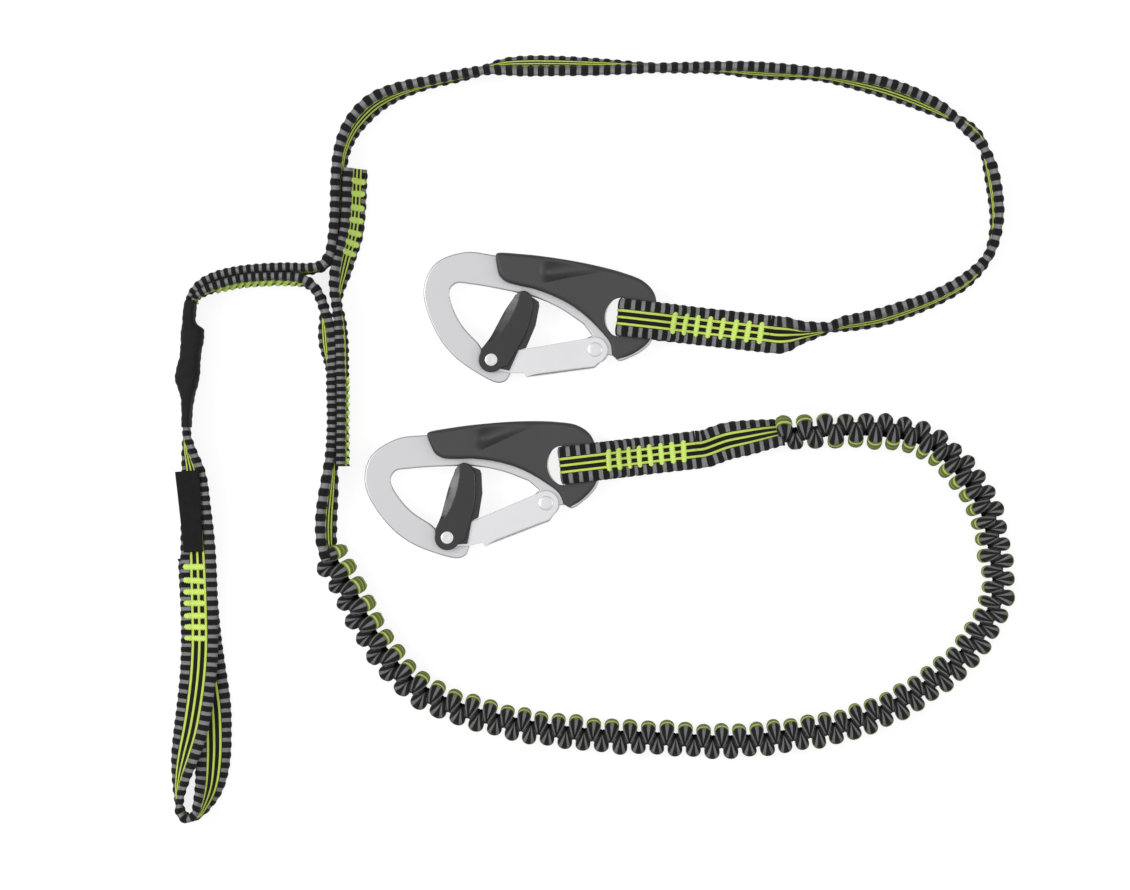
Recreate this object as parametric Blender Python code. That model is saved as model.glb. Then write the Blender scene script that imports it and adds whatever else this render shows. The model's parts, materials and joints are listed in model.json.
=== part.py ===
"""Sailing safety tether: two locking hooks, sewn webbing, an elastic curly line and a harness loop.

The tether lies flat on the surface z = 0, seen from above: +X to the right, +Y up, +Z to the eye.
Lengths below are in millimetres; MM turns them into Blender's metres where a mesh is made.
"""
import math

import bmesh
import bpy
import numpy as np
from mathutils import Matrix

MM = 0.001
GAP = 0.3                      # clearance between pieces that touch on the real tether

# Each hook: name, place of its gate rivet on the surface, turn in degrees
HOOKS = (("hook_1", (65.5, 74.5), 0.0), ("hook_2", (40.0, -5.0), 13.6))

# Stack of the hook's plates, as distances from its middle plane
FRAME_HALF = 2.5
GATE_WALL = 1.2
LEVER_FLANGE = 1.1
LEVER_LAND = 1.3
RIVET_HEAD = 0.7
COVER_HALF = 8.0               # the cover's grip carries the hook on the surface
EYE_HALF = 4.2                 # the cover is thinner where the webbing passes over it
HOOK_Z = COVER_HALF
GATE_IN = FRAME_HALF + GAP
GATE_OUT = GATE_IN + GATE_WALL
LEVER_IN = GATE_OUT + GAP
LEVER_OUT = LEVER_IN + LEVER_FLANGE + LEVER_LAND

# Round pieces of the hook; the gate rivet is the hook's own zero point
LEVER_PIN = (-53.8, -5.3)
RIVET_R = 2.5
PIN_R = 2.0
RIVET_HEAD_R = 3.7
PIN_HEAD_R = 3.2
HEEL_R = 7.3
GATE_END_R = 6.4
GATE_EAR_R = 4.8
LEVER_FOOT_R = 6.5
LEVER_REACH = 39.8             # from the pin to the lever's tip
LEVER_WEB_REACH = 35.9         # the web stands under the spine and locks the gate
LEVER_WEB_WALL = 2.2
FRAME_EDGE = 1.1
COVER_EDGE = 2.4

# Webbing
WEB_W = 19.5
WEB_T = 2.3
SLOT_W = 9.0
SLOT_PLAY = 0.75               # beside each edge of the webbing
SLOT_L = WEB_W + 2 * SLOT_PLAY
SLOT_AT = (9.5, 17.4)
SLOT_BAR_R = 1.2
SLOT_FAR_R = 5.0
EYE_TURN = -8.4                # the webbing leaves the slot at this angle to the hook
EYE_LENGTHS = {"hook_1": 77.0, "hook_2": 69.0}
LABEL_W = 11.0
LABEL_T = 0.8
LABEL_L = 40.0
LABEL_FROM = 21.0              # from the sleeve to the label
LABEL_RISE = 0.75              # the label stands off the twisted strap a little
LABEL_ACROSS = -3.4            # the label lies this far left of the strap's middle
HARNESS_STEP = 5.0

# Curly line
CURLS = 63
POINTS_PER_CURL = 8
CURL_WIDTH = 19.0
CURL_STRAND = 3.0
CURL_HEIGHT = 15.0


def smooth(points, spacing, closed=False):
    """Points at a steady spacing on the centripetal Catmull-Rom curve through the given points."""
    p = np.array(points, float)
    ends = (p[-1:], p[:2]) if closed else (2 * p[:1] - p[1:2], 2 * p[-1:] - p[-2:-1])
    q = np.vstack((ends[0], p, ends[1]))
    knots = np.concatenate(([0], np.cumsum(np.sqrt(np.linalg.norm(np.diff(q[:, :2], axis=0), axis=1)))))
    fine = []
    for i in range(1, len(q) - 2):
        t0, t1, t2, t3 = knots[i - 1:i + 3]
        t = np.linspace(t1, t2, 24, endpoint=False)[:, None]
        a1 = (t1 - t) / (t1 - t0) * q[i - 1] + (t - t0) / (t1 - t0) * q[i]
        a2 = (t2 - t) / (t2 - t1) * q[i] + (t - t1) / (t2 - t1) * q[i + 1]
        a3 = (t3 - t) / (t3 - t2) * q[i + 1] + (t - t2) / (t3 - t2) * q[i + 2]
        b1 = (t2 - t) / (t2 - t0) * a1 + (t - t0) / (t2 - t0) * a2
        b2 = (t3 - t) / (t3 - t1) * a2 + (t - t1) / (t3 - t1) * a3
        fine.append((t2 - t) / (t2 - t1) * b1 + (t - t1) / (t2 - t1) * b2)
    fine = np.vstack(fine + [q[-2:-1]])
    run = np.concatenate(([0], np.cumsum(np.linalg.norm(np.diff(fine[:, :2], axis=0), axis=1))))
    count = max(3, int(round(run[-1] / spacing)))
    at = np.linspace(0, run[-1], count + 1)
    out = np.column_stack([np.interp(at, run, fine[:, k]) for k in range(p.shape[1])])
    return out[:-1] if closed else out


def arc(centre, radius, start, end, count):
    """Points on an arc, angles in degrees."""
    angles = np.radians(np.linspace(start, end, count))
    return np.column_stack((centre[0] + radius * np.cos(angles), centre[1] + radius * np.sin(angles)))


def grown(loop, amount):
    """A closed outline moved outwards by an amount, each point along its own normal."""
    loop = np.array(loop, float)
    along = np.roll(loop, -1, axis=0) - np.roll(loop, 1, axis=0)
    along /= np.linalg.norm(along, axis=1)[:, None]
    x, y = loop.T
    turns_left = np.sum(x * np.roll(y, -1) - np.roll(x, -1) * y) > 0
    side = 1 if turns_left else -1
    return loop + side * amount * np.column_stack((along[:, 1], -along[:, 0]))


def slot(centre, grow=0.0):
    """The webbing slot's outline: square corners at the bar, wide round ones on the other side."""
    near, far = SLOT_BAR_R + grow, SLOT_FAR_R + grow
    right, left, top = SLOT_W / 2 + grow, -SLOT_W / 2 - grow, SLOT_L / 2 + grow
    points = np.vstack((arc((right - near, top - near), near, 0, 90, 3),
                        arc((left + far, top - far), far, 90, 180, 6),
                        arc((left + far, far - top), far, 180, 270, 6),
                        arc((right - near, near - top), near, 270, 360, 3)))
    c, s = math.cos(math.radians(EYE_TURN)), math.sin(math.radians(EYE_TURN))
    return points @ np.array(((c, s), (-s, c))) + np.array(centre)


def material(name, colour, roughness, metallic=0.0):
    """One Principled material for one piece."""
    made = bpy.data.materials.new(name)
    made.use_nodes = True
    shader = made.node_tree.nodes["Principled BSDF"]
    shader.inputs["Base Color"].default_value = (*colour, 1.0)
    shader.inputs["Roughness"].default_value = roughness
    shader.inputs["Metallic"].default_value = metallic
    return made


STEEL = ((0.72, 0.72, 0.72), 0.35, 1.0)
SPRING_STEEL = ((0.45, 0.45, 0.46), 0.4, 1.0)
PLASTIC = ((0.06, 0.06, 0.06), 0.5)
WEBBING = ((0.05, 0.05, 0.055), 0.85)


def link(obj, collection):
    """Put an object in a collection and give it back."""
    collection.objects.link(obj)
    return obj


def solid(curve_object):
    """The closed mesh that a curve object makes, with its caps welded; the curve is removed."""
    bpy.context.view_layer.update()
    graph = bpy.context.evaluated_depsgraph_get()
    mesh = bpy.data.meshes.new_from_object(curve_object.evaluated_get(graph))
    bpy.data.objects.remove(curve_object)
    work = bmesh.new()
    work.from_mesh(mesh)
    bmesh.ops.remove_doubles(work, verts=work.verts, dist=0.00001)
    bmesh.ops.recalc_face_normals(work, faces=work.faces)
    work.to_mesh(mesh)
    work.free()
    return mesh


def plate(loops, low, high, edge=0.0, steps=1):
    """A flat plate from its outline and holes, between two heights, with rounded edges."""
    data = bpy.data.curves.new("plate", "CURVE")
    data.dimensions = "2D"
    data.fill_mode = "BOTH"
    data.extrude = ((high - low) / 2 - edge) * MM
    data.bevel_depth = edge * MM
    data.bevel_resolution = steps
    data.offset = -edge * MM
    for loop in loops:
        spline = data.splines.new("POLY")
        spline.points.add(len(loop) - 1)
        flat = np.zeros((len(loop), 4))
        flat[:, :2] = np.array(loop) * MM
        spline.points.foreach_set("co", flat.ravel())
        spline.use_cyclic_u = True
    obj = link(bpy.data.objects.new("plate", data), bpy.context.scene.collection)
    mesh = solid(obj)
    for vertex in mesh.vertices:
        vertex.co.z += (low + high) / 2 * MM
    return mesh


def rod(radius, low, high, sides=16, centre=(0, 0)):
    """A round bar along Z."""
    work = bmesh.new()
    bmesh.ops.create_cone(work, cap_ends=True, segments=sides, radius1=radius * MM, radius2=radius * MM,
                          depth=(high - low) * MM)
    bmesh.ops.translate(work, verts=work.verts,
                        vec=(centre[0] * MM, centre[1] * MM, (low + high) / 2 * MM))
    mesh = bpy.data.meshes.new("rod")
    work.to_mesh(mesh)
    work.free()
    return mesh


def boolean(mesh, others, operation, cutters):
    """A mesh joined with or cut by other meshes, one after another, as a new mesh."""
    body = link(bpy.data.objects.new("body", mesh), bpy.context.scene.collection)
    for other in others:
        tool = link(bpy.data.objects.new("cutter", other), cutters)
        tool.hide_render = True
        tool.display_type = "WIRE"
        step = body.modifiers.new("boolean", "BOOLEAN")
        step.operation = operation
        step.object = tool
        step.solver = "EXACT"
    bpy.context.view_layer.update()
    graph = bpy.context.evaluated_depsgraph_get()
    made = bpy.data.meshes.new_from_object(body.evaluated_get(graph))
    bpy.data.objects.remove(body)
    for tool in list(cutters.objects):
        bpy.data.objects.remove(tool)
    return made


def wedge(profile, width):
    """A prism along Y whose cross-section is a list of X and Z."""
    work = bmesh.new()
    face = work.faces.new([work.verts.new((x * MM, -width / 2 * MM, z * MM)) for x, z in profile])
    moved = bmesh.ops.extrude_face_region(work, geom=[face])["geom"]
    bmesh.ops.translate(work, verts=[v for v in moved if isinstance(v, bmesh.types.BMVert)],
                        vec=(0, width * MM, 0))
    bmesh.ops.recalc_face_normals(work, faces=work.faces)
    mesh = bpy.data.meshes.new("wedge")
    work.to_mesh(mesh)
    work.free()
    return mesh


def recess(side):
    """The thumb's recess above or below: a hull with a crisp lower edge, deepest close behind it."""
    rim = THUMB_CREASE + THUMB_BACK
    low = [(x, y, z + SKIN) for x, y, z in rim] + [THUMB_DEEP]
    high = [(x, y, COVER_HALF + BEYOND) for x, y, z in rim]
    work = bmesh.new()
    for x, y, z in low + high:
        work.verts.new((x * MM, y * MM, side * z * MM))
    bmesh.ops.convex_hull(work, input=work.verts)
    bmesh.ops.recalc_face_normals(work, faces=work.faces)
    mesh = bpy.data.meshes.new("recess")
    work.to_mesh(mesh)
    work.free()
    return mesh


def wire(points, radius):
    """A round wire through the points, with filled caps, as a mesh."""
    data = bpy.data.curves.new("wire", "CURVE")
    data.dimensions = "3D"
    data.bevel_depth = radius * MM
    data.bevel_resolution = 1
    data.use_fill_caps = True
    data.resolution_u = 1
    spline = data.splines.new("POLY")
    spline.points.add(len(points) - 1)
    for point, (x, y, z) in zip(spline.points, points):
        point.co = (x * MM, y * MM, z * MM, 1)
    return solid(link(bpy.data.objects.new("wire", data), bpy.context.scene.collection))


# Outlines of the hook, from its gate rivet

BOW_OUTER = [(-43.9, -13.0), (-46.4, -16.3), (-50.6, -17.2), (-60.8, -12.4), (-73.8, -2.8),
             (-83.1, 10.2), (-88.9, 30.6), (-82.9, 44.5), (-67.3, 50.6), (-51.5, 48.9),
             (-27.4, 46.0), (-4.2, 42.3), (13.5, 37.6), (24.2, 32.6), (29.4, 25.0), (30.6, 15.0),
             (29.0, 3.9), (24.6, -0.6), (19.3, -3.6), (12.4, -5.9), (9.3, -3.4)]
BOW_INNER = [(-6.0, 13.2), (-18.1, 21.3), (-29.2, 26.4), (-41.3, 29.7), (-64.5, 33.9), (-72.0, 34.3),
             (-75.4, 30.6), (-74.6, 24.3), (-69.2, 13.0), (-60.4, 3.2)]
NOTCH_R = PIN_R + 0.45


def frame_outline():
    """The hook's forged bar: bow, spine, heel boss around the rivet and nose with the pin's notch."""
    lx, ly = LEVER_PIN
    heel = arc((0, 0), HEEL_R, -22, -258, 15)
    notch = arc(LEVER_PIN, NOTCH_R, -180, 0, 7)
    left_lip = [(lx - 4.6, ly + 5.4), (lx - NOTCH_R, ly + 3.4)]
    right_lip = [(lx + NOTCH_R + 0.6, ly + 1.6), (lx + 5.6, ly + 0.6), (lx + 8.8, ly - 3.6)]
    return np.vstack((smooth(BOW_OUTER, 6.0), heel, smooth(BOW_INNER, 5.0), left_lip, notch, right_lip))


def frame_slot():
    """The webbing slot in the forged bar; its left edge shows inside the cover's slot."""
    return slot((SLOT_AT[0] + 1.5, SLOT_AT[1]), 0.9)


COVER_OUTLINE_TOP = [(-50.4, 47.6), (-48.2, 50.0), (-27.4, 48.3), (-4.2, 44.6), (14.4, 39.9),
                     (25.5, 35.2), (31.0, 28.5), (31.6, 18.0), (28.4, 4.6), (19.0, -2.8), (11.2, -5.2)]
COVER_OUTLINE_LOW = [(8.6, -2.6), (7.6, 3.2), (0.5, 12.1), (-8.8, 20.4), (-18.1, 26.0), (-31.1, 31.2),
                     (-40.0, 33.2), (-47.2, 35.6), (-50.6, 39.6), (-51.2, 43.5)]
TAPER = ((-16.0, COVER_HALF), (0.0, EYE_HALF + 1.3), (7.0, EYE_HALF))     # X and height over the eye
SKIN = 0.05                    # how far a cutter stands clear of the face that it starts from
BEYOND = 3.0                   # how far a cutter runs past the cover
COVER_REACH = 45.0             # X past the cover's end
CUT_WIDTH = 160.0              # past both sides of the cover

# Thumb recess: its crisp lower edge and its far side, past the cover's top, each X, Y and height
THUMB_CREASE = [(-25.0, 35.2, COVER_HALF), (7.0, 39.6, EYE_HALF), (15.5, 40.2, EYE_HALF)]
THUMB_BACK = [(-24.0, 52.0, COVER_HALF), (8.0, 49.0, EYE_HALF - 0.4), (16.0, 46.0, EYE_HALF - 0.4)]
THUMB_DEEP = (-9.0, 40.8, 5.1)


def frame_mesh(cutters):
    """Forged bar with the heel's spring pocket and the rivet's hole."""
    body = plate([frame_outline(), frame_slot()], -FRAME_HALF, FRAME_HALF, FRAME_EDGE)
    pocket = rod(SPRING_POCKET_R, SPRING_POCKET_FLOOR, FRAME_HALF + 1, 20)
    mouth = plate([[(-HEEL_R - 2, -HEEL_R - 2), (0, -HEEL_R - 2), (0, -1.0), (-HEEL_R - 2, -1.0)]],
                  SPRING_POCKET_FLOOR, FRAME_HALF + 1)
    hole = rod(RIVET_R + GAP, -FRAME_HALF - 1, FRAME_HALF + 1)
    return boolean(body, [pocket, mouth, hole], "DIFFERENCE", cutters)


def cover_mesh(cutters):
    """Moulded cover: a thick grip on the spine, thinner at the eye, open where the bar shows."""
    outline = np.vstack((smooth(COVER_OUTLINE_TOP, 5.5), smooth(COVER_OUTLINE_LOW, 5.5)))
    body = plate([outline], -COVER_HALF, COVER_HALF, COVER_EDGE, 2)
    bar = plate([grown(frame_outline(), GAP), grown(frame_slot(), -GAP)],
                -FRAME_HALF - GAP, FRAME_HALF + GAP)
    opening = plate([slot(SLOT_AT)], -COVER_HALF - 1, COVER_HALF + 1)
    start = TAPER[0][0]
    taper = [(start, COVER_HALF + SKIN), *TAPER[1:], (COVER_REACH, EYE_HALF),
             (COVER_REACH, COVER_HALF + BEYOND), (start, COVER_HALF + BEYOND)]
    above = wedge(taper, CUT_WIDTH)
    below = wedge([(x, -z) for x, z in taper], CUT_WIDTH)
    thumb = [recess(side) for side in (1, -1)]
    return boolean(body, [bar, opening, above, below] + thumb, "DIFFERENCE", cutters)


def gate_mesh(cutters):
    """Folded gate: two cheeks over the heel and nose, joined by a web along the outer edge."""
    cheek = np.vstack((arc((0, 0), GATE_END_R, -62, 102, 9), [(-35.3, 0.4), (-46.0, -0.8)],
                       arc(LEVER_PIN, GATE_EAR_R, 78, 258, 8),
                       [(-44.1, -12.1), (-36.7, -12.1), (-35.7, -14.4), (-0.8, -9.8)]))
    cheeks = [plate([cheek], low, low + GATE_WALL) for low in (GATE_IN, -GATE_OUT)]
    web = plate([[(-35.7, -14.3), (-0.9, -9.75), (-1.2, -9.75 + GATE_WALL), (-35.7, -14.3 + GATE_WALL)]],
                -GATE_IN - GATE_WALL / 2, GATE_IN + GATE_WALL / 2)
    joined = boolean(web, cheeks, "UNION", cutters)
    holes = [rod(RIVET_R + GAP, -GATE_OUT - 1, GATE_OUT + 1),
             rod(PIN_R + 0.1, -GATE_OUT - 1, GATE_OUT + 1, 16, LEVER_PIN)]
    return boolean(joined, holes, "DIFFERENCE", cutters)


# Lever outline, from its pin, at rest
LEAF_RIGHT = [(8.2, -2.6), (13.2, 6.4), (20.6, 22.4), (23.2, 29.4)]
LEAF_LEFT = [(12.0, 33.2), (7.4, 26.0), (2.6, 17.2), (-0.6, 11.4), (-5.4, 5.2)]
FLANGE_RIGHT = [(9.4, -5.6), (14.3, 5.3), (18.0, 6.2), (23.0, 18.0), (24.9, 28.0)]
FLANGE_ROOT = [(15.5, 31.0), (9.0, 16.0), (3.5, 1.0), (3.0, -4.4)]
LEVER_TIP_FROM = 50.5          # the tip is an arc about the pin between these angles
LEVER_TIP_TO = 66.5


def lever_mesh(cutters):
    """Lever: two leaf-shaped cheeks with a lower flange, joined by a web along the trigger side."""
    foot = arc((0, 0), LEVER_FOOT_R, 150, 318, 9)
    tip = arc((0, 0), LEVER_REACH, LEVER_TIP_FROM + 1.5, LEVER_TIP_TO, 5)
    left = smooth(LEAF_LEFT, 6.0)
    leaf = np.vstack((foot, smooth(LEAF_RIGHT, 6.0), tip, left))
    flange_tip = arc((0, 0), LEVER_REACH - 1.0, LEVER_TIP_FROM, LEVER_TIP_FROM + 6.0, 3)
    flange = np.vstack((FLANGE_RIGHT, flange_tip, FLANGE_ROOT))
    lands = [plate([leaf], low, low + LEVER_FLANGE + LEVER_LAND, 0.5, 0) for low in (LEVER_IN, -LEVER_OUT)]
    flanges = [plate([flange], low, low + LEVER_FLANGE - 0.1)
               for low in (LEVER_IN + 0.1, -LEVER_IN - LEVER_FLANGE)]
    reach = math.hypot(*LEAF_LEFT[0])
    side = smooth([np.array(LEAF_LEFT[0]) * LEVER_WEB_REACH / reach] + LEAF_LEFT[1:4], 8.0)
    inner = side + np.array((LEVER_WEB_WALL, -0.45 * LEVER_WEB_WALL))
    inner[0] *= LEVER_WEB_REACH / np.linalg.norm(inner[0])
    web = plate([np.vstack((side + np.array((0.35, -0.15)), inner[::-1]))], -LEVER_IN - 0.4, LEVER_IN + 0.4)
    joined = boolean(web, lands + flanges, "UNION", cutters)
    hole = rod(PIN_R + GAP, -LEVER_OUT - 1, LEVER_OUT + 1)
    pocket = rod(LEVER_POCKET_R, -LEVER_IN - LEVER_POCKET_DEPTH, -LEVER_IN + 0.2, 18)
    return boolean(joined, [hole, pocket], "DIFFERENCE", cutters)


def rivet_mesh(radius, head_radius, seat, cutters):
    """A rivet or pin with a domed head at each end."""
    shaft = rod(radius, -seat - GAP - RIVET_HEAD / 2, seat + GAP + RIVET_HEAD / 2, 14)
    heads = []
    for side in (1, -1):
        work = bmesh.new()
        low, high = (head_radius, head_radius - 0.6) if side > 0 else (head_radius - 0.6, head_radius)
        bmesh.ops.create_cone(work, cap_ends=True, segments=20, radius1=low * MM, radius2=high * MM,
                              depth=RIVET_HEAD * MM)
        bmesh.ops.translate(work, verts=work.verts, vec=(0, 0, side * (seat + GAP + RIVET_HEAD / 2) * MM))
        head = bpy.data.meshes.new("head")
        work.to_mesh(head)
        work.free()
        heads.append(head)
    return boolean(shaft, heads, "UNION", cutters)


# Springs, from the axis that they turn about
SPRING_WIRE = 0.35
SPRING_COIL_R = 4.0
SPRING_TURNS = 2.25
SPRING_PITCH = 1.15
SPRING_POCKET_R = 5.2
SPRING_POCKET_DEPTH = 3.8
SPRING_POCKET_FLOOR = FRAME_HALF - SPRING_POCKET_DEPTH
LEVER_SPRING_WIRE = 0.25
LEVER_SPRING_COIL_R = 3.7
LEVER_SPRING_TURNS = 1.25
LEVER_SPRING_PITCH = 0.75
LEVER_POCKET_R = 4.6
LEVER_POCKET_DEPTH = 1.8
LEG_REACH = 1.2 * SPRING_COIL_R
GATE_LEG = ((-0.9, -1.4), (-2.6, -4.4))       # the gate spring's leg: shares of its reach, and its fall


def coil(radius, turns, pitch, low, start, per_turn=12):
    """Points on a helix that starts at an angle and climbs from a height."""
    count = int(round(turns * per_turn)) + 1
    angle = math.radians(start) + np.linspace(0, turns * 2 * math.pi, count)
    height = low + pitch * (angle - angle[0]) / (2 * math.pi)
    return np.column_stack((radius * np.cos(angle), radius * np.sin(angle), height))


def gate_spring_mesh():
    """Torsion spring round the gate rivet: its coil lies in the heel, its leg on the gate's web."""
    points = coil(SPRING_COIL_R, SPRING_TURNS, SPRING_PITCH, SPRING_POCKET_FLOOR + SPRING_WIRE + GAP, 0)
    points = points[::-1] * np.array((1, -1, 1)) @ np.array(((0, -1, 0), (1, 0, 0), (0, 0, 1)))
    end = points[-1]
    leg = [(end[0] + LEG_REACH * dx, end[1] + dy, end[2]) for dx, dy in GATE_LEG]
    return wire(np.vstack((points, leg)), SPRING_WIRE)


def lever_spring_mesh():
    """Small torsion spring in the pocket of the lever's lower cheek."""
    low = -LEVER_IN - LEVER_POCKET_DEPTH + LEVER_SPRING_WIRE + GAP
    return wire(coil(LEVER_SPRING_COIL_R, LEVER_SPRING_TURNS, LEVER_SPRING_PITCH, low, 40),
                LEVER_SPRING_WIRE)


def eye_mesh(length):
    """Webbing folded round the eye's bar: a band in side view, extruded to the webbing's width."""
    low = HOOK_Z - EYE_HALF - GAP - WEB_T / 2
    high = HOOK_Z + EYE_HALF + GAP + WEB_T / 2
    floor_layer = WEB_T / 2 + 0.2
    upper_layer = floor_layer + WEB_T + GAP
    path = [(length, floor_layer), (30.0, floor_layer), (21.0, low - 0.3), (12.0, low), (0.2, low),
            (-1.9, low + 1.3), (-2.5, HOOK_Z), (-1.9, high - 1.3), (0.2, high), (12.0, high),
            (19.5, high - 0.2), (27.0, high - 3.4), (35.0, upper_layer + 1.7), (42.0, upper_layer),
            (length, upper_layer)]
    line = smooth(path, 2.2)
    keep = np.concatenate((line[:1], line[(line[:, 0] < 46.0)], line[-1:]))
    along = np.gradient(keep, axis=0)
    along /= np.linalg.norm(along, axis=1)[:, None]
    normal = np.column_stack((-along[:, 1], along[:, 0])) * WEB_T / 2
    band = np.vstack((keep + normal, (keep - normal)[::-1]))
    mesh = plate([band], -WEB_W / 2, WEB_W / 2)
    work = bmesh.new()
    work.from_mesh(mesh)
    bmesh.ops.rotate(work, verts=work.verts, matrix=Matrix.Rotation(math.pi / 2, 3, "X"))
    bmesh.ops.recalc_face_normals(work, faces=work.faces)
    work.to_mesh(mesh)
    work.free()
    return mesh


def turned(point, degrees, origin=(0, 0)):
    """A plan point turned about zero and moved to an origin."""
    c, s = math.cos(math.radians(degrees)), math.sin(math.radians(degrees))
    return origin[0] + point[0] * c - point[1] * s, origin[1] + point[0] * s + point[1] * c


def eye_start(place, turn):
    """Where the webbing leaves the inner edge of the eye's bar, on the surface's plan."""
    bar = turned((SLOT_W / 2, 0), EYE_TURN, SLOT_AT)
    return turned(bar, turn, place)


def eye_end(name, place, turn):
    """Where the doubled eye of a hook ends, on the surface's plan."""
    start = eye_start(place, turn)
    return turned((EYE_LENGTHS[name], 0), turn + EYE_TURN, start)


def lying(route):
    """Stations x, y, z, tilt of webbing on the surface from x, y, tilt and how far it is lifted."""
    tilt = np.radians(route[:, 2])
    z = WEB_W / 2 * np.abs(np.sin(tilt)) + WEB_T / 2 * np.abs(np.cos(tilt)) + 0.1 + route[:, 3]
    return np.column_stack((route[:, 0], route[:, 1], z, route[:, 2]))


def laid(route, spacing, start=None, end=None):
    """Stations of webbing through a route's points, with a squared end at a start or end point."""
    rows = smooth([(*p, 0.0)[:4] for p in route], spacing)
    if start:
        rows = np.vstack(([(*start, 0.0)[:4]], rows))
    if end:
        rows = np.vstack((rows, [(*end, 0.0)[:4]]))
    return lying(rows)


def webbing(stations, width=WEB_W, thickness=WEB_T):
    """A flat strap along stations x, y, z, tilt in degrees; a positive tilt lifts its left edge."""
    profile = bpy.data.curves.new("strap_section", "CURVE")
    profile.dimensions = "2D"
    corner = profile.splines.new("POLY")
    corner.points.add(3)
    for point, (x, y) in zip(corner.points, ((-1, -1), (1, -1), (1, 1), (-1, 1))):
        point.co = (x * width / 2 * MM, y * thickness / 2 * MM, 0, 1)
    corner.use_cyclic_u = True
    return swept(profile, stations)


def swept(profile, stations):
    """A profile carried along stations x, y, z, tilt, kept upright, as a closed mesh."""
    section = link(bpy.data.objects.new("section", profile), bpy.context.scene.collection)
    data = bpy.data.curves.new("strap", "CURVE")
    data.dimensions = "3D"
    data.twist_mode = "Z_UP"
    data.bevel_mode = "OBJECT"
    data.bevel_object = section
    data.use_fill_caps = True
    spline = data.splines.new("POLY")
    spline.points.add(len(stations) - 1)
    for point, (x, y, z, tilt) in zip(spline.points, stations):
        point.co = (x * MM, y * MM, z * MM, 1)
        point.tilt = math.radians(tilt)
    mesh = solid(link(bpy.data.objects.new("strap", data), bpy.context.scene.collection))
    bpy.data.objects.remove(section)
    return mesh


# Routes on the surface: x, y, tilt in degrees and, where it is lifted, how far

LONG_LINE = [(172.0, 82.5, 35), (187.5, 85.5, 84), (206.0, 89.5, 76), (224.0, 96.0, 74),
             (242.5, 101.5, 76), (256.5, 110.0, 82), (266.5, 121.5, 88), (273.0, 136.0, 92),
             (275.5, 152.5, 92), (274.0, 165.5, 90), (268.0, 178.5, 88), (259.5, 189.0, 88),
             (247.5, 198.0, 82), (232.0, 207.5, 76), (213.5, 213.0, 74), (193.0, 216.5, 76),
             (172.0, 218.5, 82), (146.0, 219.5, 88), (120.0, 220.5, 90), (94.0, 220.5, 86),
             (68.0, 221.0, 78), (47.5, 221.5, 75), (26.5, 221.5, 80), (11.0, 220.0, 88),
             (-4.5, 216.5, 92), (-20.5, 213.0, 92), (-36.0, 208.5, 86), (-47.5, 203.0, 78),
             (-55.5, 196.0, 74), (-62.0, 187.0, 76), (-66.2, 176.0, 84), (-68.4, 163.0, 94),
             (-69.2, 150.0, 97), (-70.4, 137.0, 97), (-72.4, 127.0, 97), (-76.5, 120.1, 98),
             (-83.0, 117.5, 100), (-94.0, 117.1, 102), (-107.0, 116.5, 102), (-119.0, 115.1, 102),
             (-130.0, 111.9, 98), (-138.4, 107.5, 94), (-142.8, 104.3, 90), (-143.6, 102.3, 90)]
SHORT_LINE = [(-140.4, 102.1, 90), (-139.0, 103.3, 90), (-134.2, 105.4, 88), (-127.3, 108.4, 82),
              (-118.2, 111.5, 78), (-107.0, 112.9, 78), (-94.0, 113.5, 78), (-86.6, 112.9, 78),
              (-80.6, 109.9, 76), (-77.2, 104.1, 74), (-76.0, 96.5, 68), (-75.4, 85.5, 64),
              (-74.8, 75.5, 76), (-73.4, 65.5, 98), (-72.4, 55.5, 104), (-72.2, 42.5, 104),
              (-72.4, 27.5, 104), (-73.4, 15.5, 106), (-75.2, 1.5, 112), (-76.6, -10.5, 114),
              (-76.6, -21.5, 110), (-75.6, -29.5, 100)]
BRIDGE_STRAP = [(-59.6, 168.3, -58), (-60.2, 160.5, -58), (-60.8, 147.5, -58), (-62.0, 134.5, -58),
                (-63.6, 124.0, -60), (-65.4, 115.0, -68), (-67.2, 105.5, -82), (-67.6, 98.5, -90),
                (-66.6, 89.5, -88), (-66.6, 77.5, -82), (-67.8, 63.5, -77), (-68.2, 55.5, -76),
                (-68.2, 42.5, -76), (-68.4, 27.5, -76), (-68.4, 14.1, -76)]
SLEEVE_ENDS = ((-143.6, 100.3, 90), (-140.4, 100.3, 90))     # where the two lines meet the sleeve
HARNESS_LOOP = [(-146.0, 31.1, 84), (-145.0, 22.5, 72), (-142.6, 9.5, 50), (-141.4, -8.5, 36, 1.0),
                (-140.8, -29.5, 20, 2.4), (-141.0, -55.5, 4, 2.7), (-141.6, -76.5, 4, 2.7),
                (-143.0, -92.0, 8, 2.6), (-145.2, -107.5, 14, 2.4), (-147.6, -123.0, 24, 1.6),
                (-149.6, -136.0, 42, 0.6), (-150.6, -146.5, 62), (-151.0, -157.0, 80),
                (-149.6, -164.9, 90), (-145.8, -168.3, 90), (-141.8, -165.7, 88), (-139.4, -158.5, 76),
                (-136.6, -149.5, 58), (-133.6, -138.5, 38), (-131.8, -125.5, 20), (-132.4, -110.0, 8),
                (-134.8, -92.0, 2), (-136.6, -76.5, 0), (-138.0, -55.5, 0), (-138.4, -33.5, 0)]
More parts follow.
